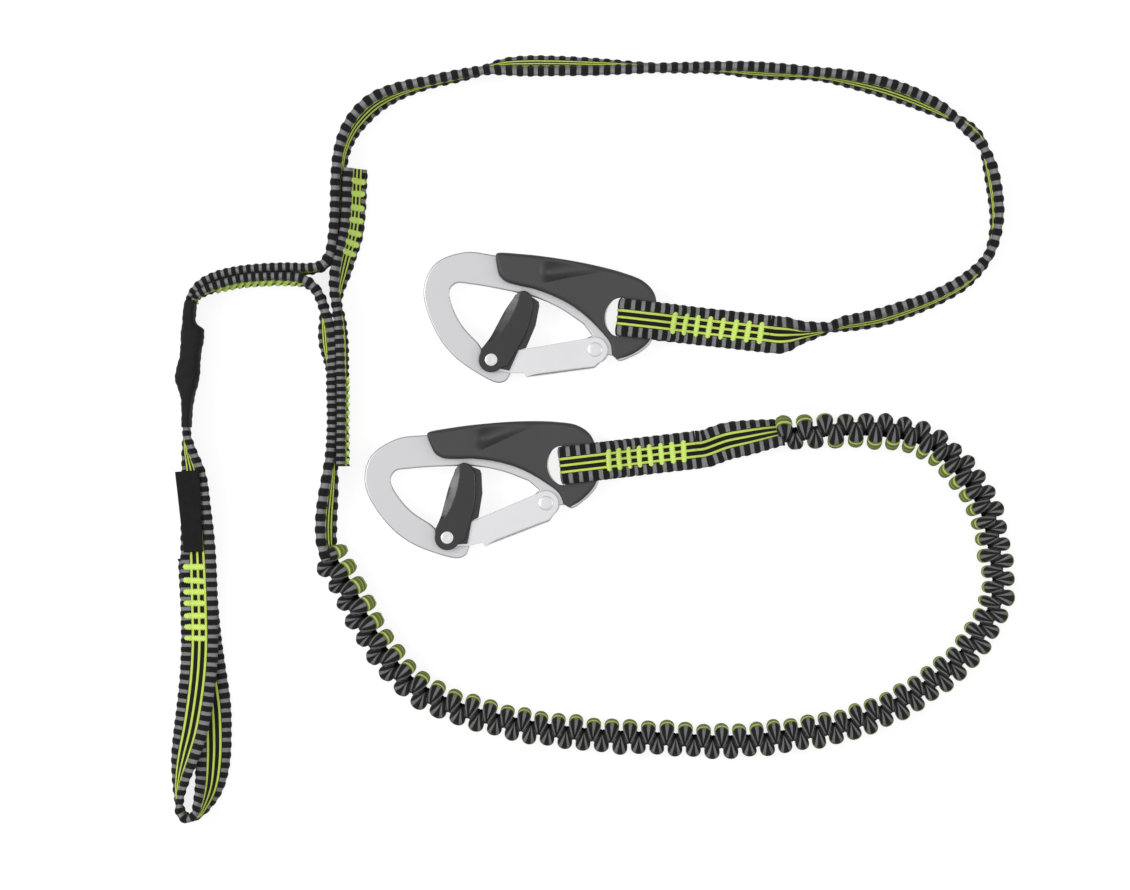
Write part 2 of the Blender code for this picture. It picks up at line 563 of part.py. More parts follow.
CURLY_ROUTE = [(-75.0, -30.5), (-72.0, -40.5), (-64.5, -55.5), (-55.0, -72.0), (-43.5, -86.5),
               (-32.5, -99.5), (-20.5, -110.0), (-5.5, -116.5), (11.0, -120.5), (47.5, -125.5),
               (89.0, -128.0), (130.5, -129.0), (172.0, -125.5), (208.5, -117.0), (239.5, -102.5),
               (260.5, -81.5), (272.5, -63.5), (277.5, -42.5), (275.5, -21.5), (270.0, -5.5),
               (260.5, 7.0), (251.0, 17.0), (239.5, 25.0), (213.5, 32.0), (191.0, 31.5), (167.0, 28.5)]
CURLY_LEAD = [(165.2, 28.4, 55), (158.0, 27.7, 38), (149.0, 26.5, 18), (138.5, 24.7, 4)]
SLEEVE = ((-142.0, 99.9, 6.6, 21.0), (-143.6, 87.5, 7.2, 20.6), (-143.8, 84.7, 11.2, 19.0),
          (-144.2, 71.5, 11.2, 18.0), (-146.2, 59.9, 12.6, 17.4), (-146.4, 50.5, 9.0, 18.6),
          (-146.2, 42.5, 6.4, 20.4), (-146.2, 31.9, 5.6, 21.0))


def curly_stations():
    """The elastic line: a strap on edge that winds from side to side of its route, curl by curl."""
    route = smooth([(x, y) for x, y in CURLY_ROUTE], 1.0)
    run = np.concatenate(([0], np.cumsum(np.linalg.norm(np.diff(route, axis=0), axis=1))))
    straight = CURL_STRAND
    pitch = (run[-1] - 2 * straight) / CURLS
    phase = np.linspace(0, 2 * math.pi * CURLS, CURLS * POINTS_PER_CURL + 1)
    along = straight + pitch * phase / (2 * math.pi) - pitch / 9.4 * np.sin(2 * phase)
    across = (CURL_WIDTH - CURL_STRAND) / 2 * np.sin(phase)
    along = np.concatenate(([0], along, [run[-1]]))
    across = np.concatenate(([0], across, [0]))
    tangent = np.gradient(route, axis=0)
    tangent /= np.linalg.norm(tangent, axis=1)[:, None]
    at = np.clip(along, 0, run[-1])
    centre = np.column_stack([np.interp(at, run, route[:, k]) for k in (0, 1)])
    left = np.column_stack((-np.interp(at, run, tangent[:, 1]), np.interp(at, run, tangent[:, 0])))
    plan = centre + across[:, None] * left
    z = np.full(len(plan), CURL_HEIGHT / 2 + 0.1)
    return np.column_stack((plan, z, np.zeros(len(plan)))), run[-1]


def least_gap(stations):
    """The smallest free distance between strands of the curly line that aren't neighbours on it."""
    plan = stations[:, :2]
    fine = np.vstack([a + (b - a) * t for a, b in zip(plan[:-1], plan[1:]) for t in (0.0, 0.5)])
    least = np.inf
    for skip in range(5, 40):
        least = min(least, np.linalg.norm(fine[skip:] - fine[:-skip], axis=1).min())
    return least - CURL_STRAND


def curly_mesh():
    """The winding strap on edge as one unbroken tube."""
    profile = bpy.data.curves.new("curl_section", "CURVE")
    profile.dimensions = "2D"
    ring = profile.splines.new("POLY")
    ring.points.add(3)
    for point, (x, y) in zip(ring.points, ((-1, -1), (1, -1), (1, 1), (-1, 1))):
        point.co = (x * CURL_STRAND / 2 * MM, y * CURL_HEIGHT / 2 * MM, 0, 1)
    ring.use_cyclic_u = True
    stations, length = curly_stations()
    print(f"curly line: {CURLS} curls on {length:.0f} mm, least gap {least_gap(stations):.2f} mm")
    return swept(profile, stations)


def sleeve_mesh():
    """The black sleeve over the join: rounded oblong sections lofted down its length."""
    count = 12
    rows = []
    turn = np.linspace(0, 2 * math.pi, count, endpoint=False) + math.pi / count
    for x, y, width, height in SLEEVE:
        cx = np.sign(np.cos(turn)) * np.abs(np.cos(turn)) ** 0.6 * width / 2
        cz = np.sign(np.sin(turn)) * np.abs(np.sin(turn)) ** 0.6 * height / 2
        cz *= height / 2 / cz.max()
        rows.append(np.column_stack((x + cx, np.full(count, y), height / 2 + 0.1 + cz)))
    work = bmesh.new()
    rings = [[work.verts.new(p * MM) for p in row] for row in rows]
    for upper, lower in zip(rings[:-1], rings[1:]):
        for i in range(count):
            j = (i + 1) % count
            work.faces.new((upper[i], upper[j], lower[j], lower[i]))
    work.faces.new(rings[0])
    work.faces.new(rings[-1])
    bmesh.ops.recalc_face_normals(work, faces=work.faces)
    mesh = bpy.data.meshes.new("sleeve")
    work.to_mesh(mesh)
    work.free()
    return mesh


def label_stations(strap):
    """The bare label lies on the harness strap, above its sewn part, a little to its left."""
    first = int(round(LABEL_FROM / HARNESS_STEP))
    rows = strap[first:first + int(round(LABEL_L / HARNESS_STEP)) + 1]
    tilt = np.radians(rows[:, 3])
    across = LABEL_ACROSS
    above = WEB_T / 2 + LABEL_RISE + LABEL_T / 2
    x = rows[:, 0] + across * np.cos(tilt) - above * np.sin(tilt)
    z = rows[:, 2] + across * np.sin(tilt) + above * np.cos(tilt)
    return np.column_stack((x, rows[:, 1], z, rows[:, 3]))


def add(name, mesh, look, collection, parent=None, at=(0, 0, 0), turn=0.0):
    """One named piece with its own material, placed under its parent."""
    obj = link(bpy.data.objects.new(name, mesh), collection)
    obj.parent = parent
    obj.location = [c * MM for c in at]
    obj.rotation_euler = (0, 0, math.radians(turn))
    if not mesh.materials:
        mesh.materials.append(None)
    obj.material_slots[0].link = "OBJECT"
    obj.material_slots[0].material = material(name, *look)
    mesh.shade_smooth()
    mesh.set_sharp_from_angle(angle=math.radians(35))
    return obj


def axis_point(name, collection, parent=None, at=(0, 0, 0), turn=0.0):
    """An empty on a joint's axis."""
    empty = link(bpy.data.objects.new(name, None), collection)
    empty.parent = parent
    empty.location = [c * MM for c in at]
    empty.rotation_euler = (0, 0, math.radians(turn))
    return empty


def build():
    """Clear the scene and make the whole tether."""
    for obj in list(bpy.data.objects):
        bpy.data.objects.remove(obj)
    tether = bpy.data.collections.new("safety_tether")
    cutters = bpy.data.collections.new("cutters")
    bpy.context.scene.collection.children.link(tether)
    bpy.context.scene.collection.children.link(cutters)

    frame = frame_mesh(cutters)
    cover = cover_mesh(cutters)
    gate = gate_mesh(cutters)
    lever = lever_mesh(cutters)
    gate_rivet = rivet_mesh(RIVET_R, RIVET_HEAD_R, GATE_OUT, cutters)
    lever_pin = rivet_mesh(PIN_R, PIN_HEAD_R, LEVER_OUT, cutters)
    gate_spring = gate_spring_mesh()
    lever_spring = lever_spring_mesh()
    for name, place, turn in HOOKS:
        hook = axis_point(name + "_gate_axis", tether, None, (*place, HOOK_Z), turn)
        swing = axis_point(name + "_gate_swing", tether, hook)
        fold = axis_point(name + "_lever_axis", tether, swing, (*LEVER_PIN, 0))
        add(name + "_frame", frame, STEEL, tether, hook)
        add(name + "_cover", cover, PLASTIC, tether, hook)
        add(name + "_gate_rivet", gate_rivet, STEEL, tether, hook)
        add(name + "_gate", gate, STEEL, tether, swing)
        add(name + "_gate_spring", gate_spring, SPRING_STEEL, tether, swing)
        add(name + "_lever_pin", lever_pin, STEEL, tether, swing, (*LEVER_PIN, 0))
        add(name + "_lever", lever, PLASTIC, tether, fold)
        add(name + "_lever_spring", lever_spring, SPRING_STEEL, tether, fold)
        start = eye_start(place, turn)
        add(name + "_eye", eye_mesh(EYE_LENGTHS[name]), WEBBING, tether, None, (*start, 0), turn + EYE_TURN)

    upper_layer = WEB_T + GAP
    ends = {name: eye_end(name, place, turn) for name, place, turn in HOOKS}
    first = turned((GAP, 0), EYE_TURN, ends["hook_1"])
    second = turned((4.0, 0), EYE_TURN, ends["hook_1"])
    last = turned((GAP, 0), HOOKS[1][2] + EYE_TURN, ends["hook_2"])
    before = turned((4.0, 0), HOOKS[1][2] + EYE_TURN, ends["hook_2"])
    straps = {
        "long_line": laid([(*second, 2, upper_layer)] + LONG_LINE, 8.5, (*first, 0, upper_layer),
                          SLEEVE_ENDS[0]),
        "short_line": laid(SHORT_LINE, 6.0, SLEEVE_ENDS[1]),
        "bridge_strap": laid(BRIDGE_STRAP, 7.0),
        "harness_loop": laid(HARNESS_LOOP, HARNESS_STEP),
        "curly_lead": laid(CURLY_LEAD + [(*before, 0, upper_layer)], 5.0, None, (*last, 0, upper_layer)),
    }
    for name, stations in straps.items():
        add(name, webbing(stations), WEBBING, tether)
    add("label", webbing(label_stations(straps["harness_loop"]), LABEL_W, LABEL_T), WEBBING, tether)
    add("join_sleeve", sleeve_mesh(), WEBBING, tether)
    add("curly_line", curly_mesh(), WEBBING, tether)


build()
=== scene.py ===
"""Looks of the sailing safety tether: woven tape, elastic curly line, sewn joins and two locking hooks.

Lengths are in millimetres in the tether's own frame, +X right, +Y up the picture, +Z to the eye;
MM turns them into metres when a mesh is made. Each hook is worked out from its gate rivet.
"""
import json
import math

import bmesh
import bpy
import numpy as np
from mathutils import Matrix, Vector
from mathutils.geometry import delaunay_2d_cdt


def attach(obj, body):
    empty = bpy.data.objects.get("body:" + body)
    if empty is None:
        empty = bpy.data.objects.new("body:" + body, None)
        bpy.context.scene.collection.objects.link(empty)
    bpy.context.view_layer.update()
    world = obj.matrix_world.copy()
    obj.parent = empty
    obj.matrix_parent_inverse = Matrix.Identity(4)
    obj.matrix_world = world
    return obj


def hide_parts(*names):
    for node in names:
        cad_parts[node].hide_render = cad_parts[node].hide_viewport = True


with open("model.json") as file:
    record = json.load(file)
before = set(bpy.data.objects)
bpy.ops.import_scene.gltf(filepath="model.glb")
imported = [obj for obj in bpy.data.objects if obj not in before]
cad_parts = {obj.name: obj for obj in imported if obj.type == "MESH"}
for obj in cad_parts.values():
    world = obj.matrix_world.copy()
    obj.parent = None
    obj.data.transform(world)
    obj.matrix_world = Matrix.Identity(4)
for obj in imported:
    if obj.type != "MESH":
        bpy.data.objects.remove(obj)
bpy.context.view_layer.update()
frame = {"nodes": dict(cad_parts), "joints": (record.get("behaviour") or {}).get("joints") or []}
rng = np.random.default_rng(11)

MM = 0.001
CLEAR = 0.3                    # between the floor and whatever lies on it

# Tape
TAPE_W = 19.5
EDGE_T = 5.0                   # thickness of the stuffed outer thirds
WEB_T = 2.4                    # thickness between the lime lines
LINES = (-0.35, 0.0, 0.35)     # the lime lines, as shares of the half width
LINE_HALF = 0.062
OUTER_MID = 0.70
OUTER_HALF = 0.30
STEP = 0.65                    # spacing of stations along a strap
YARNS_ACROSS = 15              # in half the width
YARNS_ALONG = 8                # in one black and one grey block together
YARN_SLANT = 26.0
THREAD_PITCH = 1.0
HARNESS_FRONT = 130.0          # length of the harness loop's front strap, which carries the stitching

# Hook
HOOK_Z = 8.0
LEVER_PIN = np.array((-53.8, -5.3))
EYE_TURN = -8.4
SLOT_AT = (9.5, 17.4)
SLOT_W = 9.0
SLOT_L = 20.3
EYE_LENGTHS = {"hook_1": 77.0, "hook_2": 69.0}
EYE_SWAY = {"hook_1": 2.0, "hook_2": 1.5}      # the webbing lies a little off the slot's own line
EYE_BARS = {"hook_1": (25.3, 6.73), "hook_2": (21.1, 5.89)}    # first bar of stitching, spacing
EYE_PERIOD = 5.1               # one black and one grey block together
EYE_EDGE = 3.4                 # the webbing is pressed thinner where it is doubled and sewn
EYE_MID = 2.0
FRAME_HALF = 2.5
COVER_HALF = 8.0
EYE_HALF = 4.2
GAP = 0.3
FLOOR_LAYER = 0.2 + EYE_EDGE / 2
UPPER_LAYER = FLOOR_LAYER + EYE_EDGE + 0.1

# Photo frame: millimetres a pixel, and the surface point under the middle of the picture
PIXEL = 0.52
PICTURE_WIDTH = 1130
PICTURE_MID = (49.9, 25.1)
CAMERA_HEIGHT = 2600.0
SENSOR = 36.0
FLOOR_REACH = 3.0
FLOOR_GLOW = 0.84


def looked_up(x, pairs):
    """Values at x, on straight lines between the pairs of a table."""
    return np.interp(x, *zip(*pairs))


def blend(t, start, end, a, b):
    """The value at t on the straight line from a at start to b at end."""
    return (end - t) / (end - start) * a + (t - start) / (end - start) * b


def smooth(points, spacing):
    """Points at a steady spacing on the centripetal Catmull-Rom curve through the given points."""
    p = np.array(points, float)
    q = np.vstack((2 * p[:1] - p[1:2], p, 2 * p[-1:] - p[-2:-1]))
    knots = added_up(np.sqrt(strides(q)))
    fine = []
    for i in range(1, len(q) - 2):
        k = knots[i - 1:i + 3]
        t = np.linspace(k[1], k[2], 24, endpoint=False)[:, None]
        a = [blend(t, k[j], k[j + 1], q[i - 1 + j], q[i + j]) for j in range(3)]
        b = [blend(t, k[j], k[j + 2], a[j], a[j + 1]) for j in range(2)]
        fine.append(blend(t, k[1], k[2], *b))
    fine = np.vstack(fine + [q[-2:-1]])
    run = measured(fine)
    at = np.linspace(0, run[-1], max(3, int(round(run[-1] / spacing))) + 1)
    return np.column_stack([np.interp(at, run, column) for column in fine.T])


def strides(points, columns=2):
    """The distance from each point of a line to the next, from its first columns."""
    return np.linalg.norm(np.diff(points[:, :columns], axis=0), axis=1)


def added_up(steps):
    """The running total of some steps, from 0."""
    return np.concatenate(([0], np.cumsum(steps)))


def measured(points, columns=2):
    """Distance along a line of points, from its first columns."""
    return added_up(strides(points, columns))


def area_under(values, at):
    """The running integral of values over the places they are at."""
    return added_up((values[1:] + values[:-1]) / 2 * np.diff(at))


def round_angles(count):
    """Angles once round a circle, as one row."""
    return np.linspace(0, 2 * np.pi, count, endpoint=False)[None]


def shown(name, data):
    """A new object in the scene."""
    obj = bpy.data.objects.new(name, data)
    bpy.context.scene.collection.objects.link(obj)
    return obj


def arc(centre, radius, start, end, count):
    """Points on an arc, angles in degrees."""
    angles = np.radians(np.linspace(start, end, count))
    return np.column_stack((centre[0] + radius * np.cos(angles), centre[1] + radius * np.sin(angles)))


def unit(rows):
    """Each row divided by its own length."""
    return rows / np.linalg.norm(rows, axis=-1, keepdims=True)


def outward(loop):
    """Unit normals pointing out of a closed plan outline, square to the chord between neighbours."""
    along = unit(np.roll(loop, -1, axis=0) - np.roll(loop, 1, axis=0))
    x, y = loop.T
    side = 1 if np.sum(x * np.roll(y, -1) - np.roll(x, -1) * y) > 0 else -1
    return side * np.column_stack((along[:, 1], -along[:, 0]))


def ease(x, low, high):
    """0 below low, 1 above high and a smooth step between them."""
    t = np.clip((x - low) / (high - low), 0, 1)
    return t * t * (3 - 2 * t)


def evened(values, window):
    """A row of values averaged over a window that slides along it."""
    return np.convolve(np.pad(values, window // 2, mode="edge"), np.ones(window) / window, "valid")


def squared(value, power):
    """A sine or cosine raised to a power with its sign kept; a power below 1 squares a circle off."""
    return np.sign(value) * np.abs(value) ** power


def apart(points, others):
    """The distance in plan from each point to the nearest of some others."""
    return np.min(np.hypot(points[:, :1] - others[:, 0], points[:, 1:] - others[:, 1]), axis=1)


def mesh_of(name, vertices, faces, uv=None):
    """A shaded closed mesh from vertices in millimetres, lists of faces and a UV for each corner."""
    mesh = bpy.data.meshes.new(name)
    mesh.from_pydata((np.asarray(vertices) * MM).tolist(), [], faces)
    if uv is not None:
        layer = mesh.uv_layers.new(name="UVMap")
        layer.data.foreach_set("uv", np.asarray(uv, np.float32).ravel())
    work = bmesh.new()
    work.from_mesh(mesh)
    bmesh.ops.recalc_face_normals(work, faces=work.faces)
    work.to_mesh(mesh)
    work.free()
    mesh.shade_smooth()
    return shown(name, mesh)


def tube_faces(rows, ring, first=0):
    """Corner numbers of the quads between neighbouring closed rings of a grid."""
    i, j = np.meshgrid(np.arange(rows - 1), np.arange(ring), indexing="ij")
    k = (j + 1) % ring
    quads = np.stack((i * ring + j, i * ring + k, (i + 1) * ring + k, (i + 1) * ring + j), axis=-1)
    return quads.reshape(-1, 4) + first


def tubes(name, grids, uvs=None):
    """One object from closed-ring grids (rows, ring, 3), each closed at its two ends by a fan."""
    vertices, faces, corners, first = [], [], [], 0
    for number, grid in enumerate(grids):
        rows, ring = grid.shape[:2]
        middle = first + rows * ring
        vertices += [grid.reshape(-1, 3), grid[[0, -1]].mean(axis=1)]
        faces += tube_faces(rows, ring, first).tolist()
        a = np.arange(ring)
        for base, centre, order in ((first, middle, 1), (middle - ring, middle + 1, -1)):
            fan = np.stack((a + base, np.full(ring, centre), (a + 1) % ring + base), axis=-1)
            faces += fan[:, ::order].tolist()
        if uvs is not None:
            u = uvs[number]
            quads = np.stack((u[:-1, :-1], u[:-1, 1:], u[1:, 1:], u[1:, :-1]), axis=2)
            corners += [quads.reshape(-1, 2)] + [np.repeat(u[row, :-1], 3, axis=0) for row in (0, -1)]
        first = middle + 2
    return mesh_of(name, np.vstack(vertices), faces, np.vstack(corners) if corners else None)


class Tape:
    """A strap along its run: centre points, and unit vectors across it and out of its face.

    Across the strap, v runs from -1 at its right edge to 1 at its left edge. Count is the number of
    block pairs from the start; their period is one number or pairs of distance and period.
    """

    def __init__(self, centre, across, normal, edge, period, mid=WEB_T, phase=0.0):
        self.centre, self.across, self.normal, self.mid = centre, across, normal, mid
        self.run = measured(centre, 3)
        self.edge = np.broadcast_to(np.asarray(edge, float), self.run.shape)
        pairs = 1 / looked_up(self.run, ((0.0, period),) if np.isscalar(period) else period)
        self.count = phase + area_under(pairs, self.run)

    def half_thickness(self, s, v):
        """Half the thickness: an ellipse over each outer third, joined to the flat middle."""
        off = np.clip((np.abs(v) - OUTER_MID) / OUTER_HALF, -1, 1)
        edge = np.interp(s, self.run, self.edge)
        outer = edge / 2 * np.sqrt(np.maximum(0, 1 - off ** 2))
        middle = np.minimum(self.mid, edge) / 2 * (1 - ease(np.abs(v), 0.42, 0.75))
        return np.sqrt(outer ** 2 + middle ** 2)

    def nearest(self, x, y, before=math.inf):
        """The distance along the strap of the station nearest to a plan point, up to a given distance."""
        away = np.hypot(self.centre[:, 0] - x, self.centre[:, 1] - y)
        return self.run[np.argmin(np.where(self.run < before, away, math.inf))]

    def placed(self, s, v, up):
        """Points at distance s along, v across and up out of the strap's middle sheet."""
        centre, across, normal = (np.stack([np.interp(s, self.run, column) for column in rows.T], axis=-1)
                                  for rows in (self.centre, self.across, self.normal))
        return centre + unit(across) * (TAPE_W / 2 * v)[..., None] + unit(normal) * up[..., None]


def across_samples():
    """Places across one face: close together over the round edge and over each lime line."""
    edge = OUTER_MID + OUTER_HALF * np.cos(np.radians((0, 20, 43, 66, 90, 114, 140)))
    line = np.array((-1.0, -0.55, 0.0, 0.55, 1.0)) * LINE_HALF
    inner = np.concatenate([line + at for at in LINES[1:]] + [[0.175]])
    half = np.concatenate((edge, inner[inner >= 0]))
    return np.unique(np.round(np.concatenate((-half, half)), 5))


def ring_of(face):
    """Places across one face and back over the other, and the face that each is on, 1 or -1."""
    v = np.concatenate((face, face[-2:0:-1]))
    return v, np.where(np.arange(len(v)) < len(face), 1.0, -1.0)


def pattern_uv(along, v):
    """Pattern coordinates of closed rings: u counts block pairs, v is the place across."""
    return np.stack(np.meshgrid(along, np.append(v, v[0]), indexing="ij"), axis=-1)


def strap_grid(tape):
    """Rings round the strap and their pattern coordinates.

    The blocks swell and sink the outer thirds and the edges by a flattened sine of the count, and
    each lime line stands up as half an ellipse with a fine ripple along it.
    """
    v, sign = ring_of(across_samples())
    along = tape.count + 0.06 * np.sin(tape.run / 17.0) + 0.05 * np.sin(tape.run / 6.1)
    wave = np.tanh(2.2 * np.sin(2 * np.pi * along))[:, None]
    outer = ease(np.abs(v), 0.42, 0.52)
    line = np.min([np.abs(v - at) for at in LINES], axis=0) / LINE_HALF
    ridge = 0.42 * np.sqrt(np.maximum(0, 1 - line ** 2))
    twist = 1 + 0.12 * np.sin(2 * np.pi * along * 3)[:, None]
    half = tape.half_thickness(tape.run[:, None], v[None])
    up = sign * (half * (1 + 0.13 * wave * outer) + ridge * twist)
    wide = v * (1 + 0.022 * wave * ease(np.abs(v), 0.8, 1.0))
    grid = tape.placed(np.repeat(tape.run[:, None], len(v), axis=1), wide, up)
    return grid, pattern_uv(along, v)


def lying(route, edges=((0.0, EDGE_T),), start_z=None, **looks):
    """A tape laid on the surface through points x, y, tilt and lift; a positive tilt lifts its left edge.

    The middle is as high as the lowest point of the tilted section needs. Edges are thicknesses at
    distances along the strap, and a given height at its start holds there and eases off.
    """
    rows = smooth([(*p, 0.0)[:4] for p in route], STEP)
    plan, flat, run = rows[:, :2], np.zeros(len(rows)), measured(rows)
    along = unit(np.gradient(plan, axis=0))
    left = np.column_stack((-along[:, 1], along[:, 0], flat))
    up = np.array((0.0, 0.0, 1.0))
    tilt = np.radians(rows[:, 2:3])
    across = left * np.cos(tilt) + up * np.sin(tilt)
    normal = up * np.cos(tilt) - left * np.sin(tilt)
    tape = Tape(np.column_stack((plan, flat)), across, normal, looked_up(run, edges), **looks)
    s, v = np.meshgrid(tape.run, np.linspace(-1, 1, 31), indexing="ij")
    half = tape.half_thickness(s, v)
    lowest = np.minimum(tape.placed(s, v, half)[..., 2], tape.placed(s, v, -half)[..., 2])
    height = CLEAR + rows[:, 3] - lowest.min(axis=1)
    if start_z is not None:
        height += (start_z - height[0]) * (1 - ease(run, 0, 18))
    tape.centre[:, 2] = height
    return tape


class Nodes:
    """Short calls for adding shader nodes to one tree and joining them."""

    def __init__(self, tree):
        self.tree = tree

    def add(self, kind, inputs=(), **settings):
        """A node with its settings; inputs are sockets or values, by place or by name."""
        node = self.tree.nodes.new("ShaderNode" + kind)
        for key, value in settings.items():
            setattr(node, key, value)
        pairs = inputs.items() if isinstance(inputs, dict) else enumerate(inputs)
        for key, value in pairs:
            if isinstance(value, bpy.types.NodeSocket):
                self.tree.links.new(value, node.inputs[key])
            elif value is not None:
                node.inputs[key].default_value = value
        return node

    def math(self, operation, *inputs):
        """The result of one sum on values or sockets."""
        return self.add("Math", inputs, operation=operation).outputs[0]

    def band(self, value, low, high, start=0.0, end=1.0):
        """A value run smoothly from start to end between low and high."""
        return self.add("MapRange", {"Value": value, "From Min": low, "From Max": high, "To Min": start,
                                     "To Max": end}, interpolation_type="SMOOTHSTEP").outputs["Result"]

    def mix(self, factor, a, b):
        """A colour between two others."""
        return self.add("Mix", {0: factor, 6: a, 7: b}, data_type="RGBA").outputs[2]

    def noise(self, vector, scale, detail=3.0, rough=0.5):
        """Noise from 0 to 1 on a vector."""
        return self.add("TexNoise", {"Vector": vector, "Scale": scale, "Detail": detail,
                                     "Roughness": rough}).outputs["Fac"]

    def fill(self, sockets, *values):
        """Join results to sockets, in order."""
        for socket, value in zip(sockets, values):
            self.tree.links.new(value, socket)


def new_group(name, inputs, outputs):
    """An empty shader node group: its node maker, its input sockets and its outputs, all numbers."""
    tree = bpy.data.node_groups.new(name, "ShaderNodeTree")
    for label, kind, value in inputs:
        socket = tree.interface.new_socket(label, in_out="INPUT", socket_type="NodeSocket" + kind)
        if value is not None:
            socket.default_value = value
    for label in outputs:
        tree.interface.new_socket(label, in_out="OUTPUT", socket_type="NodeSocketFloat")
    return Nodes(tree), tree.nodes.new("NodeGroupInput").outputs, tree.nodes.new("NodeGroupOutput").inputs


def tape_pattern_group():
    """Masks of the tape's woven pattern from u, in block pairs along it, and v, across it."""
    n, given, out = new_group(
        "tape pattern", [("Pattern UV", "Vector", None), ("Line width", "Float", LINE_HALF)],
        ("Grey block", "Lime line", "Outer", "Height", "Yarn"))
    parts = n.add("SeparateXYZ", (given[0],)).outputs
    u, v = parts["X"], parts["Y"]
    side = n.math("ABSOLUTE", v)
    wobble = n.noise(n.add("CombineXYZ", (u, n.math("MULTIPLY", v, 3.0), 0.0)).outputs[0], 2.3, 2.0)
    bent = n.math("ADD", u, n.math("MULTIPLY", n.math("SUBTRACT", wobble, 0.5), 0.10))
    wave = n.math("SINE", n.math("MULTIPLY", bent, 2 * math.pi))
    outer = n.band(side, 0.43, 0.46)
    block = n.math("MULTIPLY", n.band(wave, -0.10, -0.62), outer)
    distance = n.math("MINIMUM", side, n.math("ABSOLUTE", n.math("SUBTRACT", side, LINES[2])))
    line = n.band(n.math("DIVIDE", distance, given[1]), 1.12, 0.88)
    lengthwise = n.math("SINE", n.math("MULTIPLY", v, 2 * math.pi * YARNS_ACROSS))
    slant = n.math("SINE", n.math("MULTIPLY_ADD", u, 2 * math.pi * YARNS_ALONG,
                                  n.math("MULTIPLY", side, YARN_SLANT)))
    basket = n.math("MULTIPLY_ADD", n.math("MULTIPLY", lengthwise, slant), 0.5, 0.5)
    n.fill(out, block, line, outer, n.math("MULTIPLY_ADD", lengthwise, 0.25, basket), basket)
    return n.tree


def grain_group():
    """Fine moulded or blasted grain on object coordinates: a height and a slow variation."""
    n, given, out = new_group("surface grain", [("Grain size", "Float", 0.0004)], ("Height", "Cloud"))
    place = n.add("TexCoord").outputs["Object"]
    fine = n.noise(place, n.math("DIVIDE", 1.0, given[0]), 4.0, 0.6)
    n.fill(out, fine, n.noise(place, 90.0, 4.0, 0.55))
    return n.tree


def cloth_group():
    """Plain close weave on object coordinates: a height and a slow variation."""
    n, given, out = new_group("close weave", [("Yarn size", "Float", 0.0006)], ("Height", "Cloud"))
    place = n.add("TexCoord").outputs["Object"]
    parts = n.add("SeparateXYZ", (place,)).outputs
    turn = n.math("DIVIDE", 2 * math.pi, given[0])
    a = n.math("SINE", n.math("MULTIPLY", n.math("ADD", parts["X"], parts["Z"]), turn))
    b = n.math("SINE", n.math("MULTIPLY", parts["Y"], turn))
    weave = n.math("MULTIPLY_ADD", n.math("MULTIPLY", a, b), 0.5, 0.5)
    n.fill(out, weave, n.noise(place, 220.0, 3.0))
    return n.tree


TAPE_PATTERN = tape_pattern_group()
GRAIN = grain_group()
CLOTH = cloth_group()
BLACK = (0.008, 0.008, 0.008, 1.0)
FINE = {"grain": 0.0003, "depth": 0.00001}
PLASTIC = {"grain": 0.00035, "depth": 0.00003, "metallic": 0.0, "strength": 0.6, "cloud": 0.14,
           "gloss": 0.06}


def new_material(name, **sockets):
    """A material with its node maker and its shader, and constant values on the shader's own sockets."""
    made = bpy.data.materials.new(name)
    made.use_nodes = True
    shader = made.node_tree.nodes["Principled BSDF"]
    for key, value in sockets.items():
        shader.inputs[key.replace("_", " ")].default_value = value
    return made, Nodes(made.node_tree), shader


def grey(value):
    """A neutral colour."""
    return (value, value, value * 1.02, 1.0)


def scaled(colour, factor):
    """A colour made darker or lighter by a factor."""
    return (*(min(1.0, c * factor) for c in colour[:3]), 1.0)


def surfaced(n, shader, colour, rough, height, distance, strength):
    """Join a colour, a roughness and, through a Bump node, a height to a shader; distance is in metres."""
    bump = n.add("Bump", {"Height": height, "Distance": distance, "Strength": strength}).outputs[0]
    n.fill([shader.inputs[name] for name in ("Base Color", "Roughness", "Normal")], colour, rough, bump)


def webbing_material(name, lime, ground=BLACK, light=0.23, dark=0.008, line=LINE_HALF):
    """Woven tape: black with lighter blocks over its outer thirds and three lime lines on a ground; each
    colour is lighter on the raised yarns, partly the weave's own tone and partly painted highlight.
    """
    made, n, shader = new_material(name, Roughness=0.8, Sheen_Weight=0.06, Sheen_Roughness=0.5,
                                   Specular_IOR_Level=0.15)
    masks = n.add("Group", {"Pattern UV": n.add("UVMap").outputs[0], "Line width": line},
                  node_tree=TAPE_PATTERN).outputs
    yarn = masks["Yarn"]
    # Over the yarn mask each colour runs from dark to light: the weave's own tone, plus painted highlight on
    # the yarns' crowns and on the lime lines' twill.
    soot = n.mix(yarn, grey(dark * 0.7), grey(dark * 1.5))
    pale = n.mix(yarn, grey(light * 0.5), grey(light * 1.5))
    middle = n.mix(yarn, scaled(ground, 0.7), scaled(ground, 1.4))
    body = n.mix(masks["Outer"], middle, n.mix(masks["Grey block"], soot, pale))
    glow = n.mix(yarn, scaled(lime, 0.78), scaled(lime, 1.12))
    surfaced(n, shader, n.mix(masks["Lime line"], body, glow), n.band(yarn, 0.0, 1.0, 0.85, 0.68),
             masks["Height"], 0.00022, 0.9)
    return made


def grained_material(name, shade, rough, grain=0.0005, depth=0.00002, metallic=1.0, strength=0.5,
                     cloud=0.02, gloss=0.025):
    """Satin metal or moulded plastic: a grey and a roughness that change slowly, over a fine grain."""
    made, n, shader = new_material(name, Roughness=rough, Metallic=metallic)
    maps = n.add("Group", {"Grain size": grain}, node_tree=GRAIN).outputs
    colour = n.mix(maps["Cloud"], grey(shade * (1 - cloud)), grey(shade * (1 + cloud)))
    surfaced(n, shader, colour, n.band(maps["Cloud"], 0.3, 0.7, rough - gloss, rough + gloss),
             maps["Height"], depth, strength)
    return made


